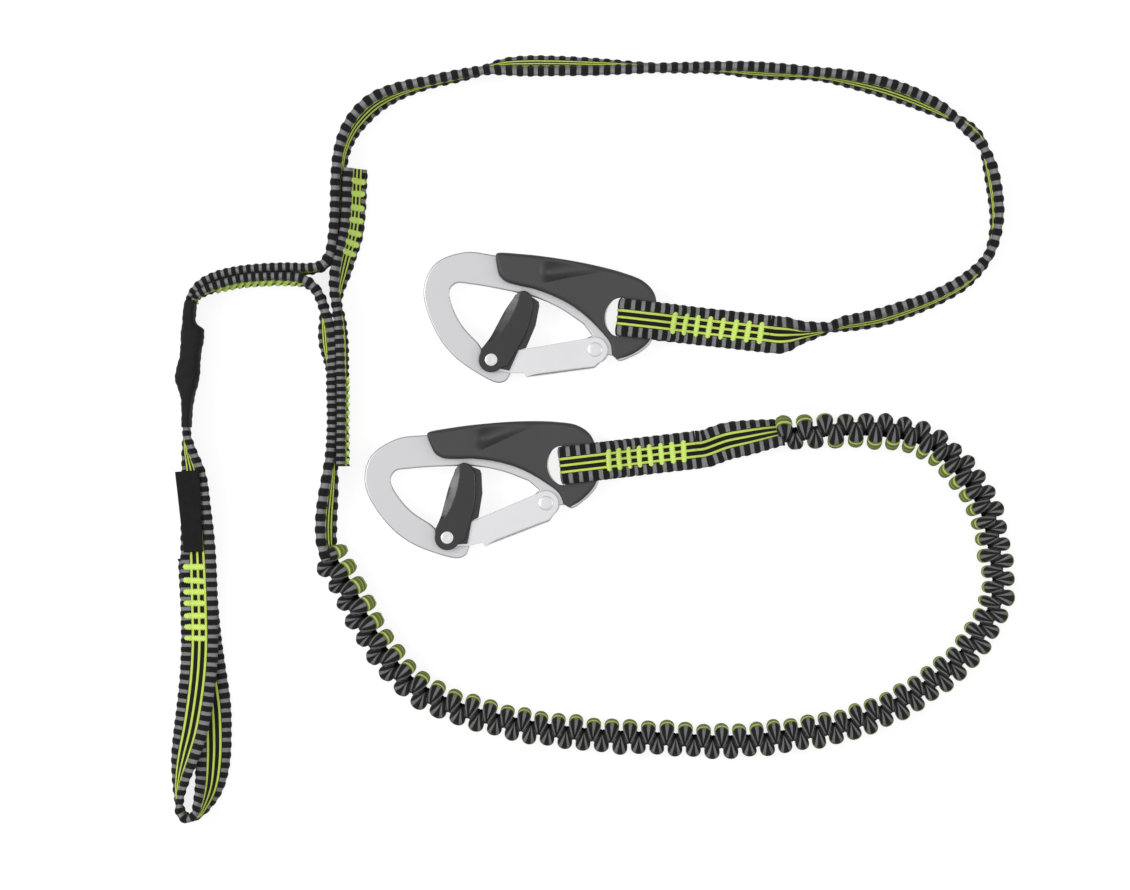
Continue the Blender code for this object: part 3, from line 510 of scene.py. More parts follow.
def cloth_material(name, shade, yarn, rough=0.85):
    """Plain dark cloth with a close weave."""
    made, n, shader = new_material(name, Roughness=rough, Sheen_Weight=0.03,
                                   Specular_IOR_Level=0.15)
    maps = n.add("Group", {"Yarn size": yarn}, node_tree=CLOTH).outputs
    surfaced(n, shader, n.mix(maps["Height"], grey(shade * 0.7), grey(shade * 1.35)),
             n.band(maps["Cloud"], 0.3, 0.7, rough - 0.08, rough + 0.06), maps["Height"], 0.00012, 0.7)
    return made


def thread_material(name, colour):
    """Lime sewing thread with a fine twist."""
    made, n, shader = new_material(name, Roughness=0.6, Sheen_Weight=0.1,
                                   Specular_IOR_Level=0.25)
    twist = n.noise(n.add("TexCoord").outputs["Object"], 2600.0, 2.0)
    surfaced(n, shader, n.mix(twist, scaled(colour, 0.8), colour), n.band(twist, 0.3, 0.7, 0.5, 0.7),
             twist, 0.0001, 0.6)
    return made


WEBBING = webbing_material("striped_webbing", (0.64, 0.80, 0.13, 1.0))
LEAD = webbing_material("lead_webbing", (0.60, 0.76, 0.13, 1.0))
ELASTIC = webbing_material("elastic_webbing", (0.60, 0.76, 0.17, 1.0), (0.16, 0.20, 0.05, 1.0), 0.17, 0.010,
                           0.046)
THREAD = thread_material("lime_thread", (0.62, 0.83, 0.17, 1.0))
STEEL = grained_material("forged_steel", 0.58, 0.5)
SHEET = grained_material("gate_steel", 0.69, 0.42, **FINE)
RIVET = grained_material("rivet_steel", 0.69, 0.36, **FINE)
SPRING = grained_material("spring_steel", 0.5, 0.35, 0.0002, 0.00001)
COVER = grained_material("cover_plastic", 0.034, 0.5, **PLASTIC)
LEVER = grained_material("lever_plastic", 0.014, 0.32, **PLASTIC)
SLEEVE_CLOTH = cloth_material("sleeve_cloth", 0.014, 0.0007)
LABEL_TAPE = cloth_material("label_tape", 0.007, 0.0004, 0.7)


def finished(obj, body, material, slot, *nodes):
    """Give a piece its material and body, and hide the CAD nodes that it stands for; slot is not used."""
    obj.data.materials.clear()
    obj.data.materials.append(material)
    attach(obj, body)
    if nodes:
        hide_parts(*nodes)
    return obj


def sewn(obj, *nodes, material=WEBBING, slot="striped_webbing"):
    """Finish a piece of cloth or thread; no joint moves one."""
    return finished(obj, "tether", material, slot, *nodes)


def strap(name, tape, *nodes, **look):
    """A woven strap as one closed piece."""
    grid, uv = strap_grid(tape)
    return sewn(tubes(name, [grid], [uv]), *nodes, **look)


# Routes on the surface: x, y, tilt in degrees and any lift
LONG_LINE = [
    (172, 83.4, 58), (177, 84.1, 70), (182.3, 85, 80), (187.6, 86.2, 88), (193, 87.6, 79),
    (203.5, 89.3, 74), (214.2, 91.5, 71), (224.8, 94.9, 72), (235.3, 98.7, 75), (245.9, 103.4, 76),
    (256.5, 109.6, 77), (264.6, 117, 83), (269.3, 123.3, 87), (272, 130.7, 90), (273.3, 138.2, 93),
    (273.6, 145.5, 96), (273, 153, 98), (271.7, 161.5, 98), (269.9, 170, 95), (267.1, 178.5, 84),
    (262.6, 185.6, 75), (257, 190.6, 76), (251.2, 194.9, 87), (245.9, 197.9, 98), (240.2, 200.8, 104),
    (230, 205.2, 109), (219.5, 209, 110), (208.8, 212.1, 108), (198.2, 214.5, 104), (187.6, 216.4, 98),
    (177, 217.6, 95), (166.4, 218.3, 99), (155.8, 218.8, 102), (145.2, 219.5, 101), (134.6, 220.3, 95),
    (122, 220.6, 90), (108, 220.5, 88), (94, 220.5, 84), (68, 221, 70), (47.5, 221.5, 64),
    (30, 221.5, 62), (18, 221, 70), (9, 219.5, 84), (-4.5, 216.5, 92), (-20.5, 213, 94),
    (-36, 208.5, 103), (-47.5, 203, 112), (-55.5, 196, 114), (-62, 187, 108), (-66, 176, 102),
    (-67.4, 163, 101), (-67.7, 150, 101), (-68.4, 138, 100), (-69.6, 130, 98), (-71.4, 123.4, 94),
    (-75.4, 118.3, 92), (-81.5, 116.4, 95), (-94, 116, 100), (-107, 115.5, 100), (-119, 114.2, 100),
    (-129.5, 112, 98), (-137.2, 108.8, 94), (-141.8, 105, 90), (-144, 101.8, 90), (-144.7, 98.4, 90)
]
SHORT_LINE = [
    (-142.1, 98.4, 90), (-141.6, 101.3, 90), (-139.4, 103.3, 90), (-134.2, 106, 87), (-127.3, 108, 84),
    (-118.2, 110, 81), (-107, 111, 80), (-94, 111.2, 81), (-86, 110.4, 84), (-80.4, 107, 88),
    (-77, 101.8, 90), (-75, 96.2, 89), (-74, 90.8, 80), (-73.2, 83.9, 68), (-72.6, 76.7, 68),
    (-71.7, 68.6, 80), (-70.8, 58.3, 91), (-70.4, 42.5, 91), (-70.6, 30.5, 91), (-71.2, 18.5, 94),
    (-72, 7, 104), (-73, -3.3, 111), (-73.8, -13.5, 114), (-73.8, -23.8, 112), (-73, -30, 106),
    (-72, -34, 102)
]
BRIDGE_STRAP = [
    (-58.8, 168.3, -58), (-59.2, 160.5, -58), (-59.8, 147.5, -58), (-61.2, 134.5, -58),
    (-64.2, 124, -60), (-66.4, 115, -66), (-68.3, 105.5, -80), (-68.4, 98.5, -90), (-66.9, 89.5, -85),
    (-65.9, 77.5, -83), (-65.6, 66, -84), (-65.4, 55.5, -85), (-65.4, 42.5, -85), (-65.4, 27.5, -84),
    (-65.4, 14.1, -83)
]
HARNESS_LOOP = [
    (-146, 37, 88), (-146, 31.1, 86), (-145, 22.5, 72), (-142.6, 9.5, 50), (-141.4, -8.5, 36, 1),
    (-140.4, -29.5, 20, 2.4), (-140, -55.5, 4, 2.7), (-139.6, -76.5, 4, 2.7), (-140.2, -92, 8, 2.6),
    (-141.8, -107.5, 14, 2.4), (-144.2, -123, 24, 1.6), (-147, -136, 42, 0.6), (-149, -146.5, 62),
    (-150, -157, 80), (-149.2, -164.9, 90), (-145.8, -168.3, 90), (-141.2, -166.6, 84),
    (-137.6, -160.5, 66), (-134.4, -151.5, 46), (-132.8, -138.5, 28), (-132.6, -125.5, 20),
    (-133.4, -110, 8), (-136, -92, 2), (-138.2, -76.5, 0), (-140.2, -55.5, 0), (-141.4, -33.5, 0)
]
CURLY_ROUTE = [
    (-73.4, -26.5), (-71.6, -32.5), (-67.6, -39.8), (-62.2, -48.6), (-53, -67), (-43, -83.6),
    (-31.3, -96.8), (-18.2, -105.6), (-5.8, -111), (12.3, -116.4), (37.4, -121.6), (65.8, -125),
    (104.7, -127), (129.6, -128.3), (151.6, -127.3), (173.6, -123.9), (194.1, -120.6), (210.2, -114.6),
    (224.9, -107.6), (239.9, -98.3), (254.2, -86.4), (264, -74.3), (270.2, -63.8), (273.8, -54.5),
    (274.3, -43.2), (272.4, -30), (268.5, -10.9), (260.6, 3.7), (251, 15.8), (242, 24), (229.1, 29.6),
    (206.4, 32.6), (184.4, 32.3), (165, 31.2), (158, 30.6)
]
CURLY_LEAD = [(133.7, 27.0, 8), (145.6, 29.1, 26), (157.5, 31.0, 46), (163.0, 31.6, 54)]
# Middle in plan, width and height of the sleeve down its length
SLEEVE = [
    (-143.6, 99.9, 6.2, 21), (-144.6, 93.5, 6.6, 20.8), (-144.5, 88, 7.2, 20.6),
    (-143.2, 85.4, 11.2, 19.6), (-143, 82.5, 12, 19), (-144.2, 71.5, 10.9, 18),
    (-145.6, 62.5, 12.6, 17.4), (-145.9, 58.5, 12.2, 17.6), (-145.6, 50.5, 7.4, 18.6),
    (-145.8, 44, 5.6, 20.4), (-146, 34.3, 5, 21)
]


def turned(points, degrees, origin=(0.0, 0.0)):
    """Points turned about zero in plan and moved to an origin; a third column stays as it is."""
    rows = np.array(points, float)
    c, s = math.cos(math.radians(degrees)), math.sin(math.radians(degrees))
    x, y = rows[..., 0].copy(), rows[..., 1].copy()
    rows[..., 0] = origin[0] + x * c - y * s
    rows[..., 1] = origin[1] + x * s + y * c
    return rows


class Hook:
    """Where one hook lies: its gate rivet, its turn and its webbing, all from its two joint axes."""

    def __init__(self, name):
        axes = {joint["name"]: np.array(joint["pos_m"]) / MM for joint in frame["joints"]}
        rivet = axes[name + "_gate_swing"]
        pin = axes[name + "_lever_fold"]
        rest = math.atan2(LEVER_PIN[1], LEVER_PIN[0])
        self.name = name
        self.rivet = rivet
        self.turn = math.degrees(math.atan2(pin[1] - rivet[1], pin[0] - rivet[0]) - rest)
        self.heading = self.turn + EYE_TURN + EYE_SWAY[name]
        bar = turned((SLOT_W / 2, 0), EYE_TURN, SLOT_AT)
        self.bar = turned(bar, self.turn, rivet[:2])

    def along(self, distance):
        """The plan point at a distance from the slot's bar, down the webbing."""
        return turned((distance, 0), self.heading, self.bar)

    def placed(self, points, origin=(0.0, 0.0)):
        """Points in the hook's own frame, from its rivet and middle plane, set where the hook lies."""
        rows = np.array(points, float)
        rows[..., :2] += origin
        rows = turned(rows, self.turn, self.rivet[:2])
        rows[..., 2] += self.rivet[2]
        return rows


def eye_tape(hook):
    """The webbing folded round the slot's bar: a bend in side view, carried level across its width.

    It is pressed thinner in the slot, over a longer way on the lower side.
    """
    length = EYE_LENGTHS[hook.name]
    low = HOOK_Z - EYE_HALF - GAP - EYE_EDGE / 2
    high = HOOK_Z + EYE_HALF + GAP + EYE_EDGE / 2
    floor = FLOOR_LAYER + 0.45
    side = smooth([(length, floor), (30.0, floor), (21.0, low), (12.0, low), (0.4, low), (-1.1, low + 1.6),
                   (-1.5, HOOK_Z), (-1.1, high - 1.6), (0.4, high), (12.0, high), (19.5, high - 0.2),
                   (27.0, high - 3.4), (35.0, UPPER_LAYER + 1.7), (42.0, UPPER_LAYER),
                   (length, UPPER_LAYER)], STEP)
    along = unit(np.gradient(side, axis=0))
    flat = np.zeros(len(side))
    centre = turned(np.column_stack((side[:, 0], flat, side[:, 1])), hook.heading, hook.bar)
    across = turned(np.column_stack((flat, flat + 1, flat)), hook.heading)
    normal = turned(np.column_stack((-along[:, 1], flat, along[:, 0])), hook.heading)
    bend = measured(side) - measured(side)[np.argmin(side[:, 0])]
    edge = EYE_EDGE - 1.1 * np.exp(-(bend / np.where(bend < 0, 18, 7)) ** 2)
    return Tape(centre, across, normal, edge, EYE_PERIOD, EYE_MID, 0.15)


def stitched(name, tape, places, slant=0.0, middle=0.0, reach=0.65, width=3.0, height=0.8, lift=0.12):
    """Bars of close stitching across a strap, all in one finished piece.

    Each bar is a tube along v, as far as reach on both sides of its middle. Its section is an ellipse
    of the given width and height, narrower at both ends, whose radius ripples once for every thread.
    """
    v = np.linspace(-reach, reach, 89)[:, None]
    angle = round_angles(12)
    ripple = 1 + 0.17 * np.cos(2 * np.pi * v * TAPE_W / 2 / THREAD_PITCH)
    fade = np.sqrt(np.maximum(0.05, 1 - (np.abs(v) / reach) ** 8))
    across = v + middle + 0 * angle
    grids = []
    for at in places:
        lean = slant + rng.normal(0, 0.25)
        size = 1 + rng.normal(0, 0.06)
        s = at + lean * v + width * size / 2 * np.cos(angle) * ripple * fade
        rise = height / 2 * np.sin(angle) * ripple * fade
        grids.append(tape.placed(s, across, tape.half_thickness(s, across) + lift + rise))
    return sewn(tubes(name, grids), material=THREAD)


# Curly line: one lobe to each side for every curl
CURLS = 63
CURL_PITCHES = [
    (0, 10.7), (10, 10.7), (14, 9.3), (19, 9.9), (25, 9.9), (29, 9.3), (38, 9), (56, 9.2), (60, 11),
    (63, 11)
]
CURL_ROLLS = [                 # share of the length, degrees
    (0, 35), (0.08, 28), (0.2, 8), (0.36, 8), (0.44, 10), (0.56, 0), (0.74, 0), (0.8, 22), (0.9, 25),
    (0.945, 10), (0.98, -25), (1, -30)
]
CURL_STUB = 3.0
CURL_REACH = 8.0               # from the line to the rim of a lobe
CURL_BULGE = 1.5               # how round a lobe is in plan
CURL_RISE = 7.0                # half the height of the curled tape
CURL_FOLD = math.radians(150)  # the tape is curled this far to each side of its rim
CURL_ROWS = 40                 # rows to a curl
CURL_PAIRS = 7.0               # block pairs to a curl


def curly_line():
    """The elastic tape, drawn into lobes to the left and right of its route, and the route's middle.

    At phase t of a curl the tape's middle line, its rim, lies at sin t across the route and swings
    back and forth along it with sin 2t, so it draws a row of lobes. Both edges of the tape are
    gathered at an inner point of the lobe. From the rim the tape curls over and under towards that
    point: its share of the way follows a cosine and its height a sine of the fold angle.
    """
    route = smooth(CURLY_ROUTE, 1.0)
    run = measured(route)
    turn = np.linspace(0, 2 * np.pi * CURLS, CURLS * CURL_ROWS + 1)
    curl = turn / (2 * np.pi)
    pitch = looked_up(curl, CURL_PITCHES)
    travel = area_under(pitch, curl)
    fit = (run[-1] - 2 * CURL_STUB) / travel[-1]
    travel = CURL_STUB + travel * fit
    uneven = 1 + 0.05 * np.sin(curl * 2.3) + 0.03 * np.sin(curl * 5.1 + 1.0)
    sway = np.sin(2 * turn) * (pitch * fit) / (2 * np.pi)
    side = np.sin(turn)
    rim = np.column_stack((travel - CURL_BULGE * sway, CURL_REACH * uneven * side))
    roll = np.radians(looked_up(travel / run[-1], CURL_ROLLS))
    gathered = -3.6 * np.tanh(side / 0.25) + 2.0 * side * np.abs(side) - 2.6 * np.sin(roll)
    inner = np.column_stack((travel + 0.75 * sway, gathered))

    v, top = ring_of(np.linspace(-1, 1, 17))
    swap = np.tanh(side / 0.2)[:, None]
    u = curl * CURL_PAIRS
    proud = 0.025 * np.tanh(2 * np.sin(2 * np.pi * u))[:, None] * ease(np.abs(v), 0.42, 0.55)
    share = (np.cos(CURL_FOLD * v ** 2) - math.cos(CURL_FOLD)) / (1 - math.cos(CURL_FOLD))
    share = share * (1 + top * swap * 0.09) * (1 + top * swap * proud)
    along = inner[:, :1] + (rim - inner)[:, :1] * share - 0.6 * top * np.cos(turn)[:, None] * (1 - swap ** 2)
    across = inner[:, 1:] + (rim - inner)[:, 1:] * share
    rise = CURL_RISE * (0.6 + 0.4 * np.abs(side))[:, None] * (1 + top * swap * (0.07 + proud))
    lift = np.sign(v) * rise * np.sin(CURL_FOLD * np.abs(v) ** 1.6)

    roll = roll[:, None]
    sideways = across * np.cos(roll) - lift * np.sin(roll)
    upward = lift * np.cos(roll) + across * np.sin(roll)
    depth = -upward.min(axis=1)
    window = CURL_ROWS + 1
    padded = np.pad(depth, window // 2, mode="edge")
    deepest = np.array([padded[i:i + window].max() for i in range(len(depth))])
    middle = CLEAR + evened(deepest, window)
    at = np.clip(along, 0, run[-1])
    columns = np.hstack((route, unit(np.gradient(route, axis=0)))).T
    x, y, tx, ty = (np.interp(at, run, column) for column in columns)
    grid = np.stack((x - ty * sideways, y + tx * sideways, middle[:, None] + upward), axis=-1)
    line = np.column_stack((route, np.interp(run, travel, middle)))
    return tubes("curly_elastic", [grid], [pattern_uv(u, v)]), line


def sleeve():
    """The black sleeve: oblong sections lofted down its length, slightly creased.

    A section's sine and cosine are raised to 0.7, which squares it off, and waves along the length
    and round the section crease it.
    """
    rows = smooth([(0.0, y, x, width, height) for x, y, width, height in SLEEVE], 0.7)
    angle = round_angles(56)
    y, x, width, height = (rows[:, k:k + 1] for k in range(1, 5))
    crease = 0.10 * np.sin(y * 1.7 + 2.0 * np.cos(angle)) + 0.09 * np.sin(y * 0.83 + 3 * angle)
    across = squared(np.cos(angle), 0.7) * (width / 2 + crease)
    up = squared(np.sin(angle), 0.7) * (height / 2 + crease)
    return tubes("sewn_sleeve", [np.stack((x + across, y + 0 * angle, height / 2 + CLEAR + up), axis=-1)])


LABEL_CORNERS = ((-152.0, 11.2), (-139.0, 12.2), (-147.7, -30.7), (-137.4, -30.0))
LABEL_HALF = 0.4


def label(tape):
    """The bare label: a thin stiff tape laid over the strap's raised edge, its corners given in plan.

    At each station down its length it is as high as the strap below lets it lie, and leans with it.
    """
    down = np.linspace(0, 1, 60)[:, None]
    corners = np.array(LABEL_CORNERS)

    def plan(over):
        """Plan points at the shares down and over."""
        upper, lower = (corners[k] + (corners[k + 1] - corners[k]) * over[..., None] for k in (0, 2))
        return upper + (lower - upper) * down[..., None]

    over = np.linspace(0, 1, 9)[None] + 0 * down
    cloud = strap_grid(tape)[0][::2].reshape(-1, 3)
    spots = plan(over).reshape(-1, 1, 2)
    near = np.hypot(spots[..., 0] - cloud[:, 0], spots[..., 1] - cloud[:, 1]) < 1.3
    top = np.where(near, cloud[:, 2], CLEAR).max(axis=1).reshape(over.shape)
    lean = evened(np.clip(top[:, 6:].max(axis=1) - top[:, :4].max(axis=1), 0, 5), 17)[:, None]
    rest = evened((top - lean * over).max(axis=1), 17)[:, None] + 0.6
    turn = round_angles(40) + 0 * down
    share = 0.5 + 0.5 * squared(np.cos(turn), 0.25)
    height = rest + lean * share + LABEL_HALF * (1 + squared(np.sin(turn), 1.2))
    return tubes("bare_label", [np.concatenate((plan(share), height[..., None]), axis=-1)])


def joined(route, hook, sign=1):
    """A route that goes on from the end of a hook's doubled eye; sign turns the tilts over."""
    end = EYE_LENGTHS[hook.name]
    first = [(*hook.along(end), 0.0), (*hook.along(end + 4.0), 2.0 * sign)]
    return first + [(x, y, sign * tilt) for x, y, tilt in route]


def webbing():
    """Every strap with its stitching."""
    upper, lower = Hook("hook_1"), Hook("hook_2")
    thinner = ((0.0, EYE_EDGE), (20.0, EDGE_T))
    eyes = {}
    for hook in (upper, lower):
        tape = eyes[hook.name] = eye_tape(hook)
        strap(hook.name + "_eye_webbing", tape, hook.name + "_eye")
        first, step = EYE_BARS[hook.name]
        places = tape.run[-1] - EYE_LENGTHS[hook.name] + first + step * np.arange(8)
        stitched(hook.name + "_eye_stitching", tape, places, 0.5, 0.0, 0.59, 2.8)

    ends = thinner + ((600.0, EDGE_T), (610.0, 4.3), (670.0, 4.3), (677.0, 3.0))
    tape = lying(joined(LONG_LINE, upper), ends, UPPER_LAYER, phase=eyes["hook_1"].count[-1],
                 period=((0, 5.7), (600, 5.7), (612, 4.0), (680, 4.0)))
    long_line = strap("long_line_webbing", tape, "long_line")

    tape = lying(SHORT_LINE, ((0.0, 3.0), (7.0, 4.3), (50.0, 4.3), (60.0, EDGE_T)), phase=0.3,
                 period=((0, 4.0), (58, 4.0), (70, 5.0), (95, 5.0), (104, 4.0), (150, 4.0), (160, 6.5),
                         (210, 6.5)))
    places = [tape.nearest(x, 112.0) for x in np.arange(-131.5, -86.0, 4.1)]
    stitched("link_stitching", tape, places, 2.5, -0.2, 0.4, 2.6, 2.0)
    short_line = strap("short_line_webbing", tape, "short_line")

    tape = lying(joined(CURLY_LEAD, lower, -1), thinner, UPPER_LAYER, period=EYE_PERIOD,
                 phase=eyes["hook_2"].count[-1])
    lead = strap("curly_lead_webbing", tape, "curly_lead", material=LEAD, slot="elastic_webbing")
    elastic, line = curly_line()
    sewn(elastic, "curly_line", material=ELASTIC, slot="elastic_webbing")

    tape = lying(BRIDGE_STRAP, period=((0, 5.4), (80, 5.0), (104, 4.0), (160, 4.0)), phase=0.6)
    strap("bridge_webbing", tape, "bridge_strap")
    places = [tape.nearest(-61.0, y) for y in (162.0, 155.1, 148.5, 141.9, 135.5, 129.9, 124.1)]
    stitched("bridge_stitching", tape, places, 0.3)
    places = [tape.nearest(-65.0, y) for y in np.arange(58.5, 14.5, -4.2)]
    stitched("bridge_lower_stitching", tape, places, 1.5, -0.3, 0.4, 1.9, 2.4, 1.1)

    tape = lying(HARNESS_LOOP, ((0.0, 4.2),), period=4.9)
    strap("harness_webbing", tape, "harness_loop")
    rows = (-38.0, -45.3, -51.1, -57.0, -63.5, -69.3, -75.2)
    places = [tape.nearest(-150.0, y, HARNESS_FRONT) for y in rows]
    stitched("harness_stitching", tape, places, 0.3, -0.2, 0.6)
    sewn(label(tape), "label", material=LABEL_TAPE, slot="label_fabric")
    sewn(sleeve(), "join_sleeve", material=SLEEVE_CLOTH, slot="sleeve_fabric")


def studio():
    """Plain white floor, soft light and a camera straight above the middle of the picture."""
    scene = bpy.context.scene
    scene.view_settings.view_transform = "Standard"
    floor = bpy.data.meshes.new("floor")
    corners = [(x * FLOOR_REACH, y * FLOOR_REACH, 0) for x, y in ((-1, -1), (1, -1), (1, 1), (-1, 1))]
    floor.from_pydata(corners, [], [(0, 1, 2, 3)])
    made, n, shader = new_material("white_floor", Roughness=0.9, Specular_IOR_Level=0.0,
                                   Base_Color=(0.22, 0.22, 0.22, 1.0))
    path = n.add("LightPath").outputs
    seen = n.math("MAXIMUM", path["Is Camera Ray"], path["Is Transmission Ray"])
    seen = n.math("MAXIMUM", seen, path["Is Glossy Ray"])
    glow = n.add("Emission", {"Color": (1, 1, 1, 1), "Strength": n.math("MULTIPLY", seen, FLOOR_GLOW)})
    both = n.add("AddShader", (shader.outputs[0], glow.outputs[0]))
    n.fill([n.tree.nodes["Material Output"].inputs["Surface"]], both.outputs[0])
    floor.materials.append(made)
    shown("floor", floor)

    world = bpy.data.worlds.new("soft_room")
    world.use_nodes = True
    n = Nodes(world.node_tree)
    sky = world.node_tree.nodes["Background"]
    height = n.add("SeparateXYZ", (n.add("TexCoord").outputs["Generated"],)).outputs["Z"]
    n.fill([sky.inputs["Strength"]], n.band(height, 0.30, 0.97, 0.13, 1.05))
    sky.inputs["Color"].default_value = (1.0, 1.0, 1.0, 1.0)
    scene.world = world

    middle = Vector((PICTURE_MID[0] * MM, PICTURE_MID[1] * MM, 0))
    for name, size, power, place in (("key", 1.1, 30.0, (-1.7, 0.3, 1.6)),
                                     ("side", 0.9, 12.0, (1.8, 0.1, 1.2))):
        light = bpy.data.lights.new(name, "AREA")
        light.size = size
        light.energy = power
        lamp = shown(name, light)
        lamp.location = place
        lamp.rotation_euler = (middle - lamp.location).to_track_quat("-Z", "Y").to_euler()

    lens = bpy.data.cameras.new("camera")
    lens.sensor_width = SENSOR
    lens.lens = SENSOR * CAMERA_HEIGHT / (PICTURE_WIDTH * PIXEL)
    lens.clip_end = 20.0
    scene.camera = shown("camera", lens)
    scene.camera.location = (middle.x, middle.y, CAMERA_HEIGHT * MM)


# Outlines of the hook, from its gate rivet
BOW_OUTER = [
    (-43.9, -13), (-46.4, -16.3), (-50.6, -17.2), (-60.8, -12.4), (-73.8, -2.8), (-83.1, 10.2),
    (-88.9, 30.6), (-82.9, 44.5), (-67.3, 50.6), (-51.5, 48.9), (-27.4, 46), (-4.2, 42.3), (13.5, 37.6),
    (24.2, 32.6), (29.4, 25), (30.6, 15), (29, 3.9), (24.6, -0.6), (19.3, -3.6), (12.4, -5.9),
    (9.3, -3.4)
]
BOW_INNER = [
    (-6, 13.2), (-18.1, 21.3), (-29.2, 26.4), (-41.3, 29.7), (-64.5, 33.9), (-72, 34.3), (-75.4, 30.6),
    (-74.6, 24.3), (-69.2, 13), (-60.4, 3.2)
]
COVER_TOP = [
    (-51.5, 48.6), (-51, 49.7), (-49.6, 50.1), (-38, 49.4), (-27.4, 48.3), (-4.2, 44.6), (14.4, 39.9),
    (25.5, 35.2), (31, 28.5), (31.6, 18), (28.4, 4.6), (19, -2.8), (11.2, -5.2)
]
COVER_LOW = [
    (8.6, -2.6), (7.6, 3.2), (0.5, 12.1), (-8.8, 20.4), (-18.1, 26), (-31.1, 31.2), (-40, 33.2),
    (-46.4, 35.2), (-49.6, 38.4), (-50.8, 42.5), (-51.4, 46.5)
]
CREASE = ((-25.2, 34.6), (-10.5, 37.6), (4.2, 40.2), (16.5, 41.0))
RECESS_DEEP = 0.92             # share of the thickness over the bar
FRAME_EDGE = 0.9
COVER_EDGE = 2.4
GATE_WALL = 1.2
GATE_IN = FRAME_HALF + GAP
GATE_OUT = GATE_IN + GATE_WALL
LEVER_IN = GATE_OUT + GAP
LEVER_FLANGE = 1.1
LEVER_OUT = 6.7
HEEL_R = 7.3
RIVET_R = 2.5
RIVET_HEAD_R = 3.7
PIN_R = 2.0
PIN_HEAD_R = 3.2
POCKET_FLOOR = -1.3            # of the room for the gate's spring in the forged bar's heel
CUTTER_EDGE = 0.01
SHARP_EDGE = 32                # degrees between faces
FACE_RING = 0.2                # a ring this share further in than the rounding keeps the faces flat


def slot_outline(centre, grow=0.0):
    """The webbing slot: square corners at the bar, half an ellipse on the other side."""
    near, far = 0.9 + grow, SLOT_W - 1.1 + grow
    right, left, top = SLOT_W / 2 + grow, -SLOT_W / 2 - grow, SLOT_L / 2 + grow
    turn = np.radians(np.linspace(90, 270, 33))
    round_end = np.column_stack((left + far + far * np.cos(turn), top * np.sin(turn)))
    points = np.vstack((arc((right - near, top - near), near, 0, 90, 8), round_end,
                        arc((right - near, near - top), near, 270, 360, 8)))
    return turned(points, EYE_TURN, centre)


def frame_outline(spacing=1.0):
    """The forged bar: bow, spine, heel boss round the rivet and nose with the pin's notch."""
    lx, ly = LEVER_PIN
    heel = arc((0, 0), HEEL_R, -22, -258, 60)
    notch_r = PIN_R + 0.45
    notch = arc(LEVER_PIN, notch_r, -180, 0, 20)
    left_lip = [(lx - 4.6, ly + 5.4), (lx - notch_r, ly + 3.4)]
    right_lip = [(lx + notch_r + 0.6, ly + 1.6), (lx + 5.6, ly + 0.6), (lx + 8.8, ly - 3.6)]
    return np.vstack((smooth(BOW_OUTER, spacing), heel, smooth(BOW_INNER, spacing), left_lip, notch,
                      right_lip))


def inside(points, loops):
    """Which points lie inside an outline and outside its holes, by the even-odd rule."""
    odd = np.zeros(len(points), bool)
    x, y = points[:, :1], points[:, 1:]
    for loop in loops:
        x0, y0 = loop.T
        x1, y1 = np.roll(loop, -1, axis=0).T
        spans = (y0 > y) != (y1 > y)
        rise = np.where(y1 == y0, 1e-9, y1 - y0)
        odd ^= (np.sum(spans & (x < (x1 - x0) * (y - y0) / rise + x0), axis=1) % 2).astype(bool)
    return odd


def triangulated(loops, cells=None, guides=None):
    """Triangles that fill an outline with holes, and the points of a grid and of guides inside it."""
    rim = np.vstack(loops)
    extra = np.empty((0, 2))
    if cells:
        low, high = rim.min(axis=0), rim.max(axis=0)
        across, up = np.meshgrid(np.arange(low[0], high[0], cells), np.arange(low[1], high[1], cells))
        spots = np.column_stack((across.ravel(), up.ravel()))
        spots = spots[inside(spots, loops)]
        extra = spots[apart(spots, rim) > 0.6 * cells]
        if guides is not None:
            guides = guides[inside(guides, loops)]
            guides = guides[apart(guides, rim) > 0.3]
            extra = np.vstack((extra[apart(extra, guides) > 0.5 * cells], guides))
    edges, first = [], 0
    for loop in loops:
        count = len(loop)
        edges += [(first + i, first + (i + 1) % count) for i in range(count)]
        first += count
    points = np.vstack((rim, extra))
    made = delaunay_2d_cdt([Vector(p) for p in points], edges, [], 0, 1e-5)
    source = [ids[0] for ids in made[3]]
    faces = np.array([[source[i] for i in face] for face in made[2]])
    return faces[inside(points[faces].mean(axis=1), loops)], extra


def drawn_in(loop, into, reach, others):
    """How far each point of an outline is drawn in: less at tight corners and near other outlines."""
    step = np.roll(loop, -1, axis=0) - loop
    swing = np.roll(into, -1, axis=0) - into
    shrink = -np.sum(step * swing, axis=1) / np.sum(step ** 2, axis=1)
    limit = np.where(shrink > 0, 0.7 / np.maximum(shrink, 1e-9), np.inf)
    reach = np.minimum(np.broadcast_to(reach, len(loop)), np.minimum(limit, np.roll(limit, 1)))
    for other in others:
        reach = np.minimum(reach, 0.38 * apart(loop, other))
    near = reach
    for kind in (np.min, np.mean):
        near = kind([np.roll(near, k) for k in range(-2, 3)], axis=0)
    return np.minimum(reach, near)[:, None]


def level(value):
    """A height as a function of plan points, from a number or such a function."""
    return value if callable(value) else lambda points: np.full(len(points), float(value))


